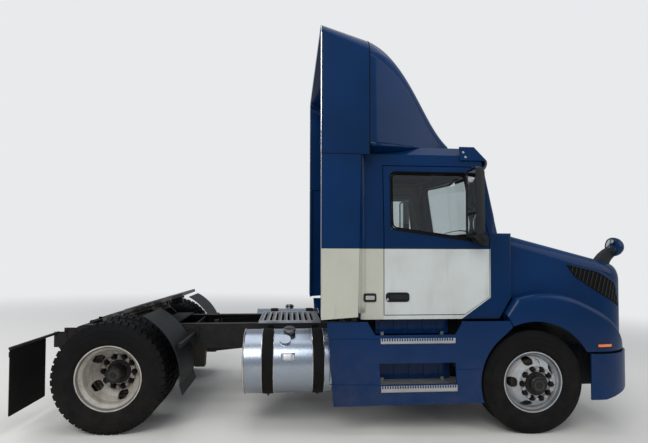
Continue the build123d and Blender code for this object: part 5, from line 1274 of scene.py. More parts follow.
class TRACTOR_OT_door_linings(bpy.types.Operator):
    """The doors' inner panels with armrests, pulls, pockets and speakers"""
    bl_idname = "tractor.door_linings"
    bl_label = "Door linings"

    def execute(self, context):
        for name, side in LEFT_RIGHT:
            panel, grip = new_shapes(2)
            outline = rounded([(2.570, 1.095), (3.270, 1.095), (3.345, 1.160), (3.345, 1.720),
                               (2.570, 1.810)], 0.03)
            panel.side_block(outline, side * 1.071, side * 1.060)
            armrest = [(2.660, 1.500), (3.150, 1.500), (3.190, 1.560), (3.150, 1.600), (2.660, 1.600)]
            pocket = [(2.640, 1.140), (3.200, 1.140), (3.200, 1.270), (2.640, 1.300)]
            panel.side_block(rounded(armrest, 0.02), side * 1.062, side * 1.000)
            panel.side_block(rounded(pocket, 0.02), side * 1.062, side * 1.036)
            for radius in (0.082, 0.066, 0.050, 0.034, 0.018):
                grip.turned([(radius, 0), (radius - 0.004, 0.005), (radius - 0.008, 0)],
                            turn_to((0, -side, 0), (3.200, side * 1.060, 1.400)), 32)
            grip.swept([(2.760, side * 1.060, 1.640), (2.780, side * 1.020, 1.655),
                        (2.960, side * 1.020, 1.655), (2.980, side * 1.060, 1.640)], 0.010, 10)
            grip.block((3.060, 3.130), (side * 1.045, side * 1.061), (1.640, 1.665))
            for k in range(3):
                grip.block((2.940 + k * 0.045, 2.970 + k * 0.045), (side * 1.010, side * 1.040),
                           (1.600, 1.607))
            panel.make("door_lining_" + name, "trim_plastic", "door_" + name, bevel=0.003)
            grip.make("door_grips_" + name, "dark_trim", "door_" + name, bevel=0.0015)
        return {"FINISHED"}


class TRACTOR_OT_screen_fittings(bpy.types.Operator):
    """Wipers on the windshield, and the bolts of the sun visor"""
    bl_idname = "tractor.screen_fittings"
    bl_label = "Wipers and visor"

    def execute(self, context):
        arms, blades, bolts = new_shapes(3)
        for pivot, low, high in ((-0.62, -0.55, 0.05), (0.08, 0.14, 0.74)):
            path = []
            for k in range(13):
                y, z = low + (high - low) * k / 12, 1.925 + 0.020 * sin(pi * k / 12)
                path.append((screen_x(y, z) + 0.010, y, z))
            blades.swept(path, 0.006, 6)
            blades.swept([(x + 0.010, y, z + 0.001) for x, y, z in path[2:-2]], 0.005, 6)
            foot = (screen_x(pivot, 1.890) + 0.012, pivot, 1.888)
            x, y, z = path[6]
            arms.swept([foot, (foot[0] + 0.012, pivot + 0.05, 1.905), (x + 0.022, y - 0.05, z + 0.004),
                        (x + 0.014, y, z)], 0.0075, 8)
            arms.turned([(0.020, -0.012), (0.020, 0.010), (0.014, 0.016), (POLE, 0.017)],
                        turn_to((1, 0, 0.2), foot), 20)
        for side in SIDES:
            for x, y, z in ((3.325, 1.0705, 2.642), (3.345, 1.0793, 2.593)):
                bolts.bolt((x, side * y, z), (0, side, 0.18), 0.009)
        bolts.make("visor_bolts", "chrome")
        arms.make("wiper_arms", "black_plastic")
        blades.make("wiper_blades", "seal_rubber")
        return {"FINISHED"}


class TRACTOR_OT_grille_mesh(bpy.types.Operator):
    """The fine mesh behind the grille's bars, and the bright surround"""
    bl_idname = "tractor.grille_mesh"
    bl_label = "Grille mesh"

    def execute(self, context):
        mesh, trim = new_shapes(2)
        half = size_of("wire_half")
        for k in range(38):
            y = -0.444 + k * 0.024
            mesh.block((5.106, 5.110), (y - half, y + half), (0.765, 1.335))
        for k in range(24):
            z = 0.775 + k * 0.024
            mesh.block((5.104, 5.108), (-0.450, 0.450), (z - half, z + half))
        trim.swept(across(5.146, rounded(rectangle(-0.478, 0.478, 0.752, 1.348), 0.03, 4)), 0.008, 8, True)
        mesh.make("grille_net", "seal_rubber", "hood")
        trim.make("grille_surround", "chrome", "hood")
        return {"FINISHED"}


# Cab back and roof

# Stations of the fairing's rear edge and of the seam before its nose, and its half width at its foot
FAIRING_REAR, FAIRING_SEAM = 1.902, 2.361
FAIRING_FOOT = [(2.362, 1.204), (2.480, 1.170), (2.600, 1.130), (2.730, 1.072), (2.860, 1.009),
                (2.910, 0.985)]


class TRACTOR_OT_closures(bpy.types.Operator):
    """Panels that close the fairing and the extenders to the cab, their seams, and bright rear edges"""
    bl_idname = "tractor.closures"
    bl_label = "Fairing closures"

    def execute(self, context):
        skirt, strips, joints, edges, backs = new_shapes(5)
        rows = []
        for x, half in FAIRING_FOOT:
            over = max(half - 1.0, 0) / 0.204
            foot = min(half, 1.066)
            rows.append([(x, half - 0.002, 2.706), (x, half - 0.002 - 0.010 * over, 2.700 - 0.035 * over),
                         (x, foot + (half - foot) * 0.5, 2.700 - 0.055 * over),
                         (x, foot - 0.002, 2.702 - 0.062 * over), (x, foot - 0.040, 2.672 - 0.062 * over)])
        skirt.sheet(rows)
        rows = []
        for k in range(17):
            z = 1.070 + k * 1.532 / 16
            side = cab_side(z)
            rows.append([(2.252, 1.1985, z), (2.266, 1.182, z), (2.276, (side + 1.190) / 2, z),
                         (2.300, side + 0.004, z), (2.330, side + 0.002, z)])
        for z in (2.640, 2.672, 2.704):
            rows.append([(2.252, 1.1985, z), (2.266, 1.170, z), (2.280, 1.110, z), (2.310, 1.040, z),
                         (2.360, 0.990, z)])
        strips.sheet(rows)
        backs.sheet([[(x - 0.007, y - 0.006, z) for x, y, z in row] for row in rows[:17]])
        joints.block((FAIRING_REAR, 2.272), (1.200, 1.2208), (2.5675, 2.5765))
        seam = [(1.2035, 2.590 + k * 0.105) for k in range(10)]
        seam += [(1.0045 + a, 3.534 + b) for a, b in ring_of(48, 0.200)[1:12]]
        seam += [(1.0, 3.7345), (0.0, 3.7345)]
        joints.swept(across(FAIRING_SEAM, seam), 0.005, 6)
        edges.swept([(FAIRING_REAR, 1.2135, 1.040 + k * 0.0765) for k in range(21)], 0.0075, 8)
        rim = [(1.197, 2.578 + k * 0.143) for k in range(9)]
        rim += [(1.075 + a, 3.722 + b) for a, b in ring_of(48, 0.122)[:13]]
        rim += [(0.8, 3.844), (0.4, 3.844), (0.0, 3.844)]
        edges.swept(across(FAIRING_REAR, rim), 0.0075, 8)
        both_sides(skirt, strips, joints, edges, backs)
        for shape, name, tone in ((skirt, "fairing_skirts", "body_paint"),
                                  (strips, "extender_closures", "band_paint"),
                                  (backs, "closure_backs", "seal_rubber")):
            thickened(shape.make(name, tone), 0.004)
        joints.make("extender_joints", "seal_rubber")
        edges.make("extender_edges", "chrome")
        return {"FINISHED"}


# Front end

HOOD_REAR, HOOD_FRONT = 3.800, 5.140
HOOD_HALF, HOOD_CORNER = 1.072, 0.400
HOOD_TOP_REAR, HOOD_TOP_FRONT = 1.828, 1.484
HOOD_BROW, HOOD_ROUND = 0.230, 0.130
# A height below the side vent, then X and Z of the vent's outline and of the panel round it
VENT_FOOT = 1.0
VENT = [(4.388, 1.524), (4.700, 1.450), (4.915, 1.334), (4.985, 1.104), (4.770, 1.220), (4.480, 1.402)]
VENT_PANEL = [(4.370, 1.536), (4.768, 1.452), (4.985, 1.322), (5.032, 1.066), (4.800, 1.196), (4.500, 1.386)]


def hood_side(x, z):
    """The hood's half width at one station and height."""
    half = HOOD_HALF - HOOD_CORNER + sqrt(HOOD_CORNER ** 2 - max(x - HOOD_FRONT + HOOD_CORNER, 0) ** 2)
    fall = (HOOD_TOP_REAR - HOOD_TOP_FRONT) / (HOOD_FRONT - HOOD_REAR)
    brow = HOOD_FRONT - HOOD_BROW
    top = HOOD_TOP_REAR - fall * (min(x, brow) - HOOD_REAR)
    top += sqrt(HOOD_BROW ** 2 - max(x - brow, 0) ** 2) - HOOD_BROW
    over = min(max(z - top + HOOD_ROUND, 0), HOOD_ROUND)
    return half - HOOD_ROUND + sqrt(HOOD_ROUND ** 2 - over ** 2)


def between(outline, steps):
    """The outline's corners with even places between them."""
    places = []
    for k, start in enumerate(outline):
        end = outline[(k + 1) % len(outline)]
        places += [tuple(a + (b - a) * n / steps for a, b in zip(start, end)) for n in range(steps)]
    return places


def crossings(outline, x_of):
    """Lowest and highest Z at which a slanted line, X as a function of Z, lies in the outline."""
    inside = []
    for z in (VENT_FOOT + k * 0.0015 for k in range(400)):
        x = x_of(z)
        odd = False
        for n, (x1, z1) in enumerate(outline):
            x2, z2 = outline[(n + 1) % len(outline)]
            if (z1 > z) != (z2 > z) and x < x1 + (x2 - x1) * (z - z1) / (z2 - z1):
                odd = not odd
        if odd:
            inside.append(z)
    return (inside[0], inside[-1]) if inside else None


class TRACTOR_OT_vents(bpy.types.Operator):
    """The hood's side vents: a painted panel, a dark insert with its rim, and slanted louvres"""
    bl_idname = "tractor.vents"
    bl_label = "Hood vents"

    def execute(self, context):
        panel, insert, louvres = new_shapes(3)
        inner, outer = between(VENT, 8), between(VENT_PANEL, 8)
        middle = [(sum(x for x, z in VENT) / 6, sum(z for x, z in VENT) / 6)] * len(inner)
        for shape, ends, steps in (
                (panel, (inner, outer), ((0.0, -0.004), (0.0, 0.0012), (0.15, 0.0022), (0.5, 0.0016),
                                         (0.85, 0.0004),
                                         (1.0, -0.002))),
                (insert, (middle, inner), [(share, 0.0008)
                                           for share in (1.0, 0.85, 0.68, 0.5, 0.34, 0.17, 0.01)])):
            rows = []
            for share, lift in steps:
                ring = [(x1 + (x2 - x1) * share, z1 + (z2 - z1) * share) for (x1, z1), (x2, z2) in zip(*ends)]
                rows.append([(x, hood_side(x, z) + lift, z) for x, z in ring])
            shape.sheet(rows, False, True)
        insert.swept([(x, hood_side(x, z) + 0.002, z) for x, z in inner], 0.0055, 8, True)
        for k in range(15):
            x_of = lambda z, start=4.28 + k * 0.046: start + (z - VENT_FOOT) * 0.25
            reach = crossings(VENT, x_of)
            if reach and reach[1] - reach[0] > 0.02:
                zs = [reach[0] + (reach[1] - reach[0]) * n / 6 for n in range(7)]
                louvres.swept([(x_of(z), hood_side(x_of(z), z) + 0.004, z) for z in zs], 0.0045, 6)
        both_sides(panel, insert, louvres)
        panel.make("vent_panels", "body_paint", "hood")
        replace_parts(insert.make("vent_inserts", "seal_rubber", "hood"), "hood_vents")
        louvres.make("vent_louvres", "black_plastic", "hood")
        return {"FINISHED"}


class TRACTOR_OT_cab_shoulders(bpy.types.Operator):
    """The cab shell with its shoulders beside the hood rounded off, and the seal behind the hood"""
    bl_idname = "tractor.cab_shoulders"
    bl_label = "Cab shoulders"

    def execute(self, context):
        piece = borrowed("cab_shell", (0, 0, 0)).make("cab_shell_rounded", "band_paint", place=Matrix())
        work = bmesh.new()
        work.from_mesh(piece.data)
        level = STANCE.inverted()

        def outer(vert):
            x, y, z = level @ vert.co
            beside_hood = x > HOOD_REAR - 0.017 and z > 1.1
            on_belt = x > 3.6 and z > BELT_Z - 0.002
            return abs(y) > CAB_HALF - 0.002 and (on_belt or beside_hood)

        edges = [edge for edge in work.edges if outer(edge.verts[0]) and outer(edge.verts[1])]
        bmesh.ops.bevel(work, geom=edges, offset=0.055, segments=6, profile=0.5, affect="EDGES",
                        clamp_overlap=True)
        work.to_mesh(piece.data)
        work.free()
        piece.data.shade_smooth()
        piece.data.set_sharp_from_angle(angle=SMOOTH_ANGLE)
        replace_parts(piece, "cab_shell")
        path = ((1.075, 1.12), (1.077, 1.40), (1.075, 1.70), (1.055, 1.762), (0.99, 1.800), (0.60, 1.826),
                (0.0, 1.826))
        seal = Shape().swept(across(HOOD_REAR - 0.008, path), 0.009, 8).mirrored()
        seal.make("hood_seal", "seal_rubber")
        return {"FINISHED"}


class TRACTOR_OT_guards(bpy.types.Operator):
    """Dark ribbed guards between the front tyres and the bumper"""
    bl_idname = "tractor.guards"
    bl_label = "Front guards"

    def execute(self, context):
        guards = Shape()
        guards.block((4.552, 5.000), (0.965, 0.972), (0.300, 0.668))
        guards.block((4.552, 4.560), (0.55, 0.972), (0.300, 0.668))
        for k in range(5):
            guards.block((4.60 + k * 0.085, 4.625 + k * 0.085), (0.970, 0.976), (0.32, 0.65))
        guards.mirrored().make("front_guards", "black_plastic", bevel=0.002)
        return {"FINISHED"}


# Chassis

COUPLING = STANCE @ Matrix.Translation((0.060, 0, 1.002)) @ Matrix.Rotation(radians(-16.5), 4, "Y")
PLATE_TOP = 0.0803
AIR_TANK_Z = 0.470


def can(shape, start, end, radius, cap=0.012, steps=36):
    """A closed can with rounded ends between two places."""
    start, end = Vector(start), Vector(end)
    length = (end - start).length
    shape.turned([(POLE, 0), (radius * 0.7, 0.001), (radius - cap * 0.4, cap * 0.4), (radius, cap),
                  (radius, length - cap), (radius - cap * 0.4, length - cap * 0.4),
                  (radius * 0.7, length - 0.001), (POLE, length)], turn_to(end - start, start), steps)


class TRACTOR_OT_brakes(bpy.types.Operator):
    """Brake drums behind the discs, brake chambers, slack arms, air tanks and shock absorbers"""
    bl_idname = "tractor.brakes"
    bl_label = "Brakes and air"

    def execute(self, context):
        for name, side in LEFT_RIGHT:
            for body, station, low, high in (("wheel_front_", WHEELBASE, 0.930, 1.135),
                                             ("wheels_rear_", 0.0, 0.700, 0.905)):
                drum, radius = Shape(), 0.214
                place = turn_to((0, side, 0), (station, 0, TYRE_RADIUS))
                drum.turned([(0.110, high - 0.004), (0.150, high), (radius - 0.012, high),
                             (radius, high - 0.016), (radius, low + 0.040), (radius + 0.010, low + 0.036),
                             (radius + 0.010, low), (radius - 0.02, low), (radius - 0.02, high - 0.03),
                             (0.110, high - 0.03)], place, 64, True)
                drum.make("drum_" + body + name, "rust_cast", body + name, GROUND)
        air, steel = new_shapes(2)
        for side in SIDES:
            y = side * 0.560
            can(air, (-0.175, y, 0.565), (-0.400, y, 0.585), 0.083)
            air.turned([(0.083, 0), (0.092, 0.002), (0.092, 0.014), (0.083, 0.016)],
                       turn_to((-1, 0, 0.08), (-0.275, y, 0.574)), 36)
            steel.swept([(-0.165, y, 0.565), (-0.060, y, 0.545)], 0.011, 10)
            steel.side_block([(-0.080, 0.480), (-0.035, 0.480), (-0.030, 0.575), (-0.066, 0.585)],
                             side * 0.548, side * 0.572)
            steel.swept([(-0.055, side * 0.40, 0.500), (-0.055, side * 0.69, 0.500)], 0.019, 12)
            can(air, (3.760, side * 0.640, 0.440), (3.930, side * 0.640, 0.450), 0.070)
        air.make("brake_chambers", "frame_paint", place=GROUND)
        steel.make("slack_arms", "rust_cast", place=GROUND, bevel=0.002)
        tanks, straps = new_shapes(2)
        radius = size_of("air_tank_radius")
        for x in (1.78, 2.13):
            can(tanks, (x, -0.35, AIR_TANK_Z), (x, 0.35, AIR_TANK_Z), radius, 0.05)
            for y in (-0.24, 0.24):
                straps.turned([(radius, -0.016), (radius + 0.004, -0.016), (radius + 0.004, 0.016),
                               (radius, 0.016)], turn_to((0, 1, 0), (x, y, AIR_TANK_Z)), 40, True)
                straps.block((x - 0.02, x + 0.02), (y - 0.016, y + 0.016),
                             (AIR_TANK_Z + radius - 0.002, 0.612))
        tanks.make("air_tanks", "frame_paint")
        straps.make("air_tank_straps", "spring_steel")
        shocks = Shape()
        for side in SIDES:
            for foot, head in (((-0.300, side * 0.500, 0.500), (-0.420, side * 0.470, 0.800)),
                               ((4.120, side * 0.560, 0.420), (4.210, side * 0.480, 0.840))):
                foot, head = Vector(foot), Vector(head)
                middle = foot.lerp(head, 0.5)
                can(shocks, foot, middle, 0.032, 0.006, 20)
                can(shocks, middle - (middle - foot) * 0.04, head, 0.038, 0.006, 20)
                for at in (foot, head):
                    shocks.turned([(0.012, -0.028), (0.028, -0.024), (0.028, 0.024), (0.012, 0.028)],
                                  turn_to((0, 1, 0), at), 20, True)
        shocks.make("shock_absorbers", "spring_steel")
        return {"FINISHED"}


class TRACTOR_OT_frame_dressing(bpy.types.Operator):
    """Rows of frame bolts, gussets, air and cable lines clipped to the rails, valves and the air dryer"""
    bl_idname = "tractor.frame_dressing"
    bl_label = "Frame dressing"

    def execute(self, context):
        bolts, plates, lines, clips = new_shapes(4)
        for side in SIDES:
            for x in (-0.745, -0.700, -0.60, -0.55, 0.36, 0.46, 0.56, 0.66, 1.04, 1.10, 1.50, 1.62, 2.06,
                      2.12, 2.25, 2.34):
                for z in (0.652, 0.822):
                    bolts.bolt((x, side * (RAIL_Y - 0.001), z), (0, side, 0), 0.0125)
            for x in (-0.66, 0.51, 1.07):
                outline = rectangle(x - 0.11, x + 0.11, 0.632, 0.842)
                plates.side_block(outline, side * (RAIL_Y - 0.001), side * (RAIL_Y + 0.007))
                for dx in (-0.085, 0.0, 0.085):
                    for z in (0.662, 0.812):
                        bolts.bolt((x + dx, side * (RAIL_Y + 0.006), z), (0, side, 0), 0.0125)
        inner = RAIL_Y - 0.011
        for row, (radius, z, y) in enumerate(((0.008, 0.800, inner - 0.010), (0.008, 0.780, inner - 0.012),
                                              (0.011, 0.752, inner - 0.014), (0.006, 0.728, inner - 0.009))):
            for side in SIDES:
                path = [(-0.70 + k * 0.12, side * (y + 0.002 * sin(k * 1.7 + row)),
                         z + 0.004 * sin(k * 0.9 + row)) for k in range(26)]
                lines.swept(path, radius, 8)
        for side in SIDES:
            for x in (-0.45, 0.10, 0.75, 1.30, 1.80, 2.15):
                clips.block((x - 0.012, x + 0.012), (side * (inner - 0.030), side * (inner + 0.001)),
                            (0.716, 0.814))
        valve = Shape()
        for x, y, z in ((0.72, 0.20, 0.74), (0.82, -0.16, 0.75), (-0.42, 0.10, 0.76)):
            valve.block((x - 0.045, x + 0.045), (y - 0.035, y + 0.035), (z - 0.035, z + 0.035))
            can(valve, (x, y, z + 0.034), (x, y, z + 0.085), 0.030, 0.006, 24)
            for dy in (-0.05, 0.05):
                valve.turned([(POLE, 0), (0.011, 0), (0.011, 0.02), (POLE, 0.02)],
                             turn_to((0, dy, 0), (x, y + dy * 0.65, z)), 6)
            valve.block((x - 0.06, x + 0.06), (y - 0.006, y + 0.006), (0.64, z - 0.03))
        cans = Shape()
        can(cans, (2.02, -0.30, 0.700), (2.02, -0.30, 0.860), 0.055, 0.012, 28)
        can(cans, (2.02, -0.30, 0.600), (2.02, -0.30, 0.702), 0.062, 0.012, 28)
        bolts.make("frame_bolts", "frame_paint")
        plates.make("frame_gussets", "frame_paint", bevel=0.002)
        lines.make("rail_lines", "seal_rubber")
        clips.make("line_clips", "spring_steel", bevel=0.002)
        valve.make("air_valves", "cast_steel", bevel=0.003)
        cans.make("air_dryer", "frame_paint")
        return {"FINISHED"}


def bend(radius, degrees):
    """Places of X and Y on an arc, whose angle is measured from the truck's left towards its front."""
    return [(radius * sin(t), radius * cos(t)) for t in map(radians, degrees)]


class TRACTOR_OT_coupling(bpy.types.Operator):
    """The coupling plate's jaws, grease lines, pins, bolts and release handle"""
    bl_idname = "tractor.coupling"
    bl_label = "Trailer coupling"

    def execute(self, context):
        jaws, grease, handle, bolts = new_shapes(4)
        for side in SIDES:
            hook = bend(0.0268, range(-35, 150, 15)) + bend(0.075, range(150, -36, -15))
            ring = [(x, side * y) for x, y in hook]
            jaws.prism(ring if side > 0 else ring[::-1], 0.004, 0.044)
        for radius in (0.135, 0.150):
            for degrees in (range(2, 87, 6), range(92, 119, 6)):
                grease.swept([(x, y, PLATE_TOP) for x, y in bend(radius, degrees)], 0.0022, 6)
        for radius in (0.325, 0.340):
            grease.swept([(x, y, PLATE_TOP) for x, y in bend(radius, range(-52, 53, 4))], 0.0022, 6)
        for side in SIDES:
            for k in range(5):
                y = side * (0.12 + k * 0.062)
                grease.swept([(-0.10 - k * 0.055, y, PLATE_TOP), (0.26, y, PLATE_TOP)], 0.0018, 6)
            bolts.turned([(POLE, 0), (0.034, 0), (0.034, 0.018), (0.026, 0.024), (POLE, 0.024)],
                         turn_to((0, side, 0), (0, side * 0.322, 0)), 24)
            for x in (-0.18, -0.06, 0.06, 0.18):
                bolts.bolt((x, side * 0.421, 0.028), (0, side, 0), 0.010)
        handle.swept([(0.09, -0.10, 0.010), (0.09, -0.30, 0.008), (0.12, -0.44, 0.004), (0.13, -0.50, -0.004),
                      (0.13, -0.555, -0.004), (0.16, -0.575, -0.004), (0.205, -0.575, -0.004),
                      (0.205, -0.545, -0.004)], 0.009, 10)
        handle.block((0.02, 0.12), (-0.20, 0.12), (0.004, 0.016))
        spring = [(0.06 + 0.012 * cos(k * 0.8), -0.12 - k * 0.0022, 0.026 + 0.012 * sin(k * 0.8))
                  for k in range(80)]
        handle.swept(spring, 0.0022, 6)
        for shape, name, tone in ((jaws, "coupling_jaws", "worn_steel"), (grease, "grease_lines", "grease"),
                                  (handle, "release_handle", "cast_steel"),
                                  (bolts, "coupling_bolts", "cast_steel")):
            shape.make(name, tone, "fifth_wheel", COUPLING)
        return {"FINISHED"}


class TRACTOR_OT_flap_fittings(bpy.types.Operator):
    """Clamp bars, bolts, moulded ribs and weights of the mud flaps"""
    bl_idname = "tractor.flap_fittings"
    bl_label = "Mud flaps"

    def execute(self, context):
        bar, ribs, weights = new_shapes(3)
        rib_x = (-0.8565, -0.8545)
        bar.block((-0.864, -0.856), (0.645, 1.210), (0.706, 0.752))
        for k in range(6):
            bar.bolt((-0.863, 0.680 + k * 0.099, 0.729), (-1, 0, 0), 0.009)
        for k in range(7):
            y = 0.690 + k * 0.079
            ribs.block(rib_x, (y - 0.004, y + 0.004), (0.225, 0.690))
        for z in (0.215, 0.695):
            ribs.block(rib_x, (0.655, 1.200), (z - 0.005, z + 0.005))
        weights.block((-0.859, -0.8548), (0.700, 1.155), (0.193, 0.208))
        both_sides(bar, ribs, weights)
        bar.make("flap_clamps", "frame_paint", bevel=0.0015)
        ribs.make("flap_ribs", "flap_rubber", bevel=0.001)
        weights.make("flap_weights", "spring_steel", bevel=0.001)
        return {"FINISHED"}


# Stage

def soft_light(name, at, towards, size, watts):
    """A large square lamp at one place, turned to another."""
    lamp = bpy.data.lights.new(name, "AREA")
    lamp.shape = "RECTANGLE"
    lamp.size, lamp.size_y = size
    lamp.energy = watts
    piece = bpy.data.objects.new(name, lamp)
    piece.location = at
    piece.rotation_euler = (Vector(towards) - Vector(at)).to_track_quat("-Z", "Y").to_euler()
    bpy.context.scene.collection.objects.link(piece)


BACKDROP = linear((232, 234, 236))


def pale_backdrop(strength):
    """The world: a plain studio tone for light and a pale one where it is seen."""
    world = bpy.data.worlds.new("studio")
    bpy.context.scene.world = world
    world.use_nodes = True
    tree = world.node_tree
    tree.nodes.clear()
    out, mix, path, lit, seen = (tree.nodes.new("ShaderNode" + kind) for kind in (
        "OutputWorld", "MixShader", "LightPath", "Background", "Background"))
    lit.inputs["Color"].default_value = linear((226, 232, 240))
    lit.inputs["Strength"].default_value = strength
    seen.inputs["Color"].default_value = BACKDROP
    for index, socket in enumerate((path.outputs["Is Camera Ray"], lit.outputs[0], seen.outputs[0])):
        tree.links.new(socket, mix.inputs[index])
    tree.links.new(mix.outputs[0], out.inputs[0])


def pale_floor():
    """A dull floor that is seen in the backdrop's tone past the lamps' reach."""
    made = Finish("floor")
    made.set(Base_Color=(214, 212, 208), Roughness=0.9)
    reach = made.add("ShaderNodeVectorMath", {"operation": "LENGTH"}, {0: made.place})
    far = Signal(made, reach.outputs["Value"]).ramp(5.5, 15.0)
    path = made.add("ShaderNodeLightPath")
    share = far * Signal(made, path.outputs["Is Camera Ray"])
    seen = made.add("ShaderNodeEmission", None, {"Color": BACKDROP})
    mix = made.add("ShaderNodeMixShader", None, {0: share, 1: made.shader.outputs[0], 2: seen.outputs[0]})
    made.feed(made.tree.nodes["Material Output"].inputs["Surface"], mix.outputs[0])
    return made.material


def lay_floor(half):
    """The square floor, which belongs to the stage and not to the tractor."""
    material = pale_floor()
    mesh = bpy.data.meshes.new("floor")
    mesh.from_pydata([(-half, -half, 0), (half, -half, 0), (half, half, 0), (-half, half, 0)], [],
                     [(0, 1, 2, 3)])
    mesh.materials.append(material)
    piece = bpy.data.objects.new("floor", mesh)
    bpy.context.scene.collection.objects.link(piece)


def view_axes(yaw, pitch, roll):
    """Right, up and forward of a camera that looks along +Y before it is turned."""
    forward = Vector((-sin(yaw), cos(yaw), 0))
    right = Vector((cos(yaw), sin(yaw), 0))
    up = Vector((0, 0, 1))
    forward, up = forward * cos(pitch) + up * sin(pitch), up * cos(pitch) - forward * sin(pitch)
    right, up = right * cos(roll) + up * sin(roll), up * cos(roll) - right * sin(roll)
    return right, up, forward


# Choices that the sidebar shows

def paint_choice(name, use, colour):
    """A colour that the user can choose, with what it is used for."""
    return bpy.props.FloatVectorProperty(
        name=name, description=use, default=linear(colour), size=4, min=0, max=1, subtype="COLOR")


class TractorPaint(bpy.types.PropertyGroup):
    """The paint's colours."""
    blue: paint_choice("Blue", "Paint of the cab, the hood and the fairings", (3, 42, 86))
    # The blue as it looks in shade, which blue_of lays over the paint in wide patches as painted shade
    shaded_blue: paint_choice("Blue in shade", "The deeper tone in wide patches of the blue", (2, 32, 64))
    white: paint_choice("White", "Paint of the band on the doors", (192, 197, 195))
    cream: paint_choice("Cream", "Paint of the band behind the doors", (180, 181, 168))


class TractorSizes(bpy.types.PropertyGroup):
    """Sizes and counts of parts that dress the frame."""
    rear_lugs: bpy.props.IntProperty(
        name="Rear lugs", description="Lugs round each rear tyre", default=46, min=12)
    front_pitches: bpy.props.IntProperty(
        name="Front pitches", description="Steps of the tread round each front tyre", default=60, min=12)
    lug_depth: bpy.props.FloatProperty(
        name="Lug depth", description="Depth of the cross grooves between the lugs", default=0.014, min=0.0,
        unit="LENGTH")
    wheel_nuts: bpy.props.IntProperty(
        name="Wheel nuts", description="Nuts on each wheel", default=10, min=3)
    wire_half: bpy.props.FloatProperty(
        name="Grille wire", description="Half the width of the wires in the grille's net", default=0.002,
        min=0.0, precision=4, unit="LENGTH")
    air_tank_radius: bpy.props.FloatProperty(
        name="Air tank radius", description="Radius of the air tanks between the rails", default=0.110,
        min=0.0, unit="LENGTH")


class TractorStage(bpy.types.PropertyGroup):
    """The camera and the light round the tractor."""
    camera_forward: bpy.props.FloatProperty(
        name="Camera forward", description="How far the camera stands ahead of the rear axle",
        default=1.587, unit="LENGTH")
    camera_away: bpy.props.FloatProperty(
        name="Camera distance", description="How far the camera stands from the tractor's middle plane",
        default=5.377, unit="LENGTH")
    camera_height: bpy.props.FloatProperty(
        name="Camera height", description="Height of the lens over the floor", default=1.66, unit="LENGTH")
    yaw: bpy.props.FloatProperty(
        name="Yaw", description="Turn of the view towards the tractor's front", default=radians(-4.31),
        subtype="ANGLE")
    pitch: bpy.props.FloatProperty(
        name="Pitch", description="Upward tilt of the view", default=radians(1.74), subtype="ANGLE")
    roll: bpy.props.FloatProperty(
        name="Roll", description="Lean of the view", default=radians(1.88), subtype="ANGLE")
    lens: bpy.props.FloatProperty(
        name="Lens", description="Focal length on a sensor 36 mm wide", default=24.806)
    frame_shift: bpy.props.FloatProperty(
        name="Frame shift", description="Upward shift of the frame as a share of its width", default=0.0332)
    world_light: bpy.props.FloatProperty(
        name="World light", description="Strength of the even light from all round", default=0.55)
    key_light: bpy.props.FloatProperty(
        name="Key light", description="Power of the large lamp high beside the tractor", default=650.0,
        unit="POWER")


class TRACTOR_OT_stage(bpy.types.Operator):
    """Lay the pale floor, hang the soft lamps and set the camera"""
    bl_idname = "tractor.stage"
    bl_label = "Stage"

    def execute(self, context):
        choice = context.scene.tractor_stage
        lay_floor(40)
        pale_backdrop(choice.world_light)
        soft_light("key", (-4, -9, 8), (0, 0, 1.4), (7, 5), choice.key_light)
        soft_light("front", (9, -5, 6), (1, 0, 1.5), (8, 7), choice.key_light * 0.4)
        soft_light("rear", (-9, 3, 6), (0, 0, 1.4), (5, 5), choice.key_light * 0.35)
        soft_light("above", (0, 0, 9), (0, 0, 0), (9, 7), choice.key_light * 0.4)
        right, up, forward = view_axes(choice.yaw, choice.pitch, choice.roll)
        lens = bpy.data.cameras.new("view")
        lens.sensor_width = 36
        lens.lens = choice.lens
        lens.shift_y = choice.frame_shift
        lens.clip_end = 200
        view = bpy.data.objects.new("view", lens)
        turn = Matrix((right, up, -forward)).transposed().to_4x4()
        place = on_road(choice.camera_forward, -choice.camera_away, choice.camera_height)
        view.matrix_world = Matrix.Translation(place) @ turn
        context.scene.collection.objects.link(view)
        context.scene.camera = view
        context.scene.view_settings.view_transform = "Standard"
        return {"FINISHED"}


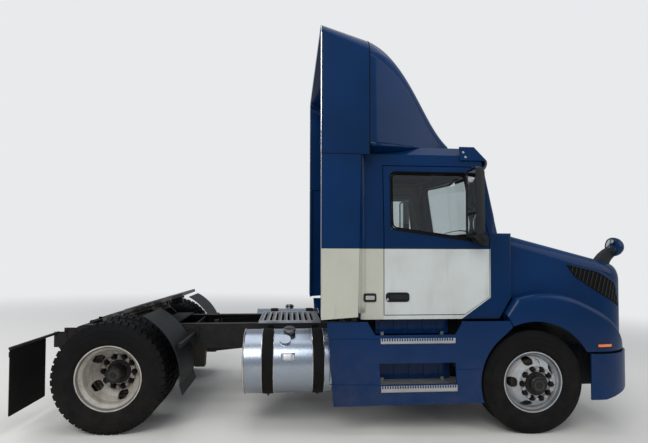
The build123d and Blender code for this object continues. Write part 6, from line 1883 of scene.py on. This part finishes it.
class TRACTOR_OT_finishes(bpy.types.Operator):
    """Mix the finishes and lay them on the frame's nodes"""
    bl_idname = "tractor.finishes"
    bl_label = "Finishes"

    def execute(self, context):
        for make in (body_paint, band_paint, part_paints, plastics, frame_finishes, worn_steel, grease_finish,
                     bright_metals, rim_paint, hub_metals, rubbers, dial_marks, fabric, clear_parts):
            make()
        for name, nodes in NODES_OF_FINISH.items():
            for node in nodes.split():
                dress(node, name)
        return {"FINISHED"}


OPERATORS = (TRACTOR_OT_finishes, TRACTOR_OT_stage, TRACTOR_OT_tyres, TRACTOR_OT_hubs, TRACTOR_OT_seals,
             TRACTOR_OT_door_fittings, TRACTOR_OT_tank_fittings, TRACTOR_OT_step_nosings, TRACTOR_OT_lamps,
             TRACTOR_OT_mirrors, TRACTOR_OT_brakes, TRACTOR_OT_frame_dressing, TRACTOR_OT_coupling,
             TRACTOR_OT_flap_fittings, TRACTOR_OT_seats, TRACTOR_OT_controls, TRACTOR_OT_door_linings,
             TRACTOR_OT_screen_fittings, TRACTOR_OT_grille_mesh, TRACTOR_OT_closures, TRACTOR_OT_vents,
             TRACTOR_OT_cab_shoulders, TRACTOR_OT_guards)


class TRACTOR_PT_build(bpy.types.Panel):
    """The choices and the steps that dress the tractor"""
    bl_label = "Road tractor"
    bl_space_type = "VIEW_3D"
    bl_region_type = "UI"
    bl_category = "Tractor"

    def draw(self, context):
        for group in CHOICES:
            choices = getattr(context.scene, group)
            for name in type(choices).__annotations__:
                self.layout.prop(choices, name)
        for operator in OPERATORS:
            self.layout.operator(operator.bl_idname)


CHOICES = {"tractor_paint": TractorPaint, "tractor_sizes": TractorSizes, "tractor_stage": TractorStage}
CLASSES = (*CHOICES.values(), *OPERATORS, TRACTOR_PT_build)


def register():
    for each in CLASSES:
        bpy.utils.register_class(each)
    for name, group in CHOICES.items():
        setattr(bpy.types.Scene, name, bpy.props.PointerProperty(type=group))


def unregister():
    for name in CHOICES:
        delattr(bpy.types.Scene, name)
    for each in reversed(CLASSES):
        bpy.utils.unregister_class(each)


def main():
    register()
    for operator in OPERATORS:
        group, name = operator.bl_idname.split(".")
        getattr(getattr(bpy.ops, group), name)()


if __name__ == "__main__":
    main()
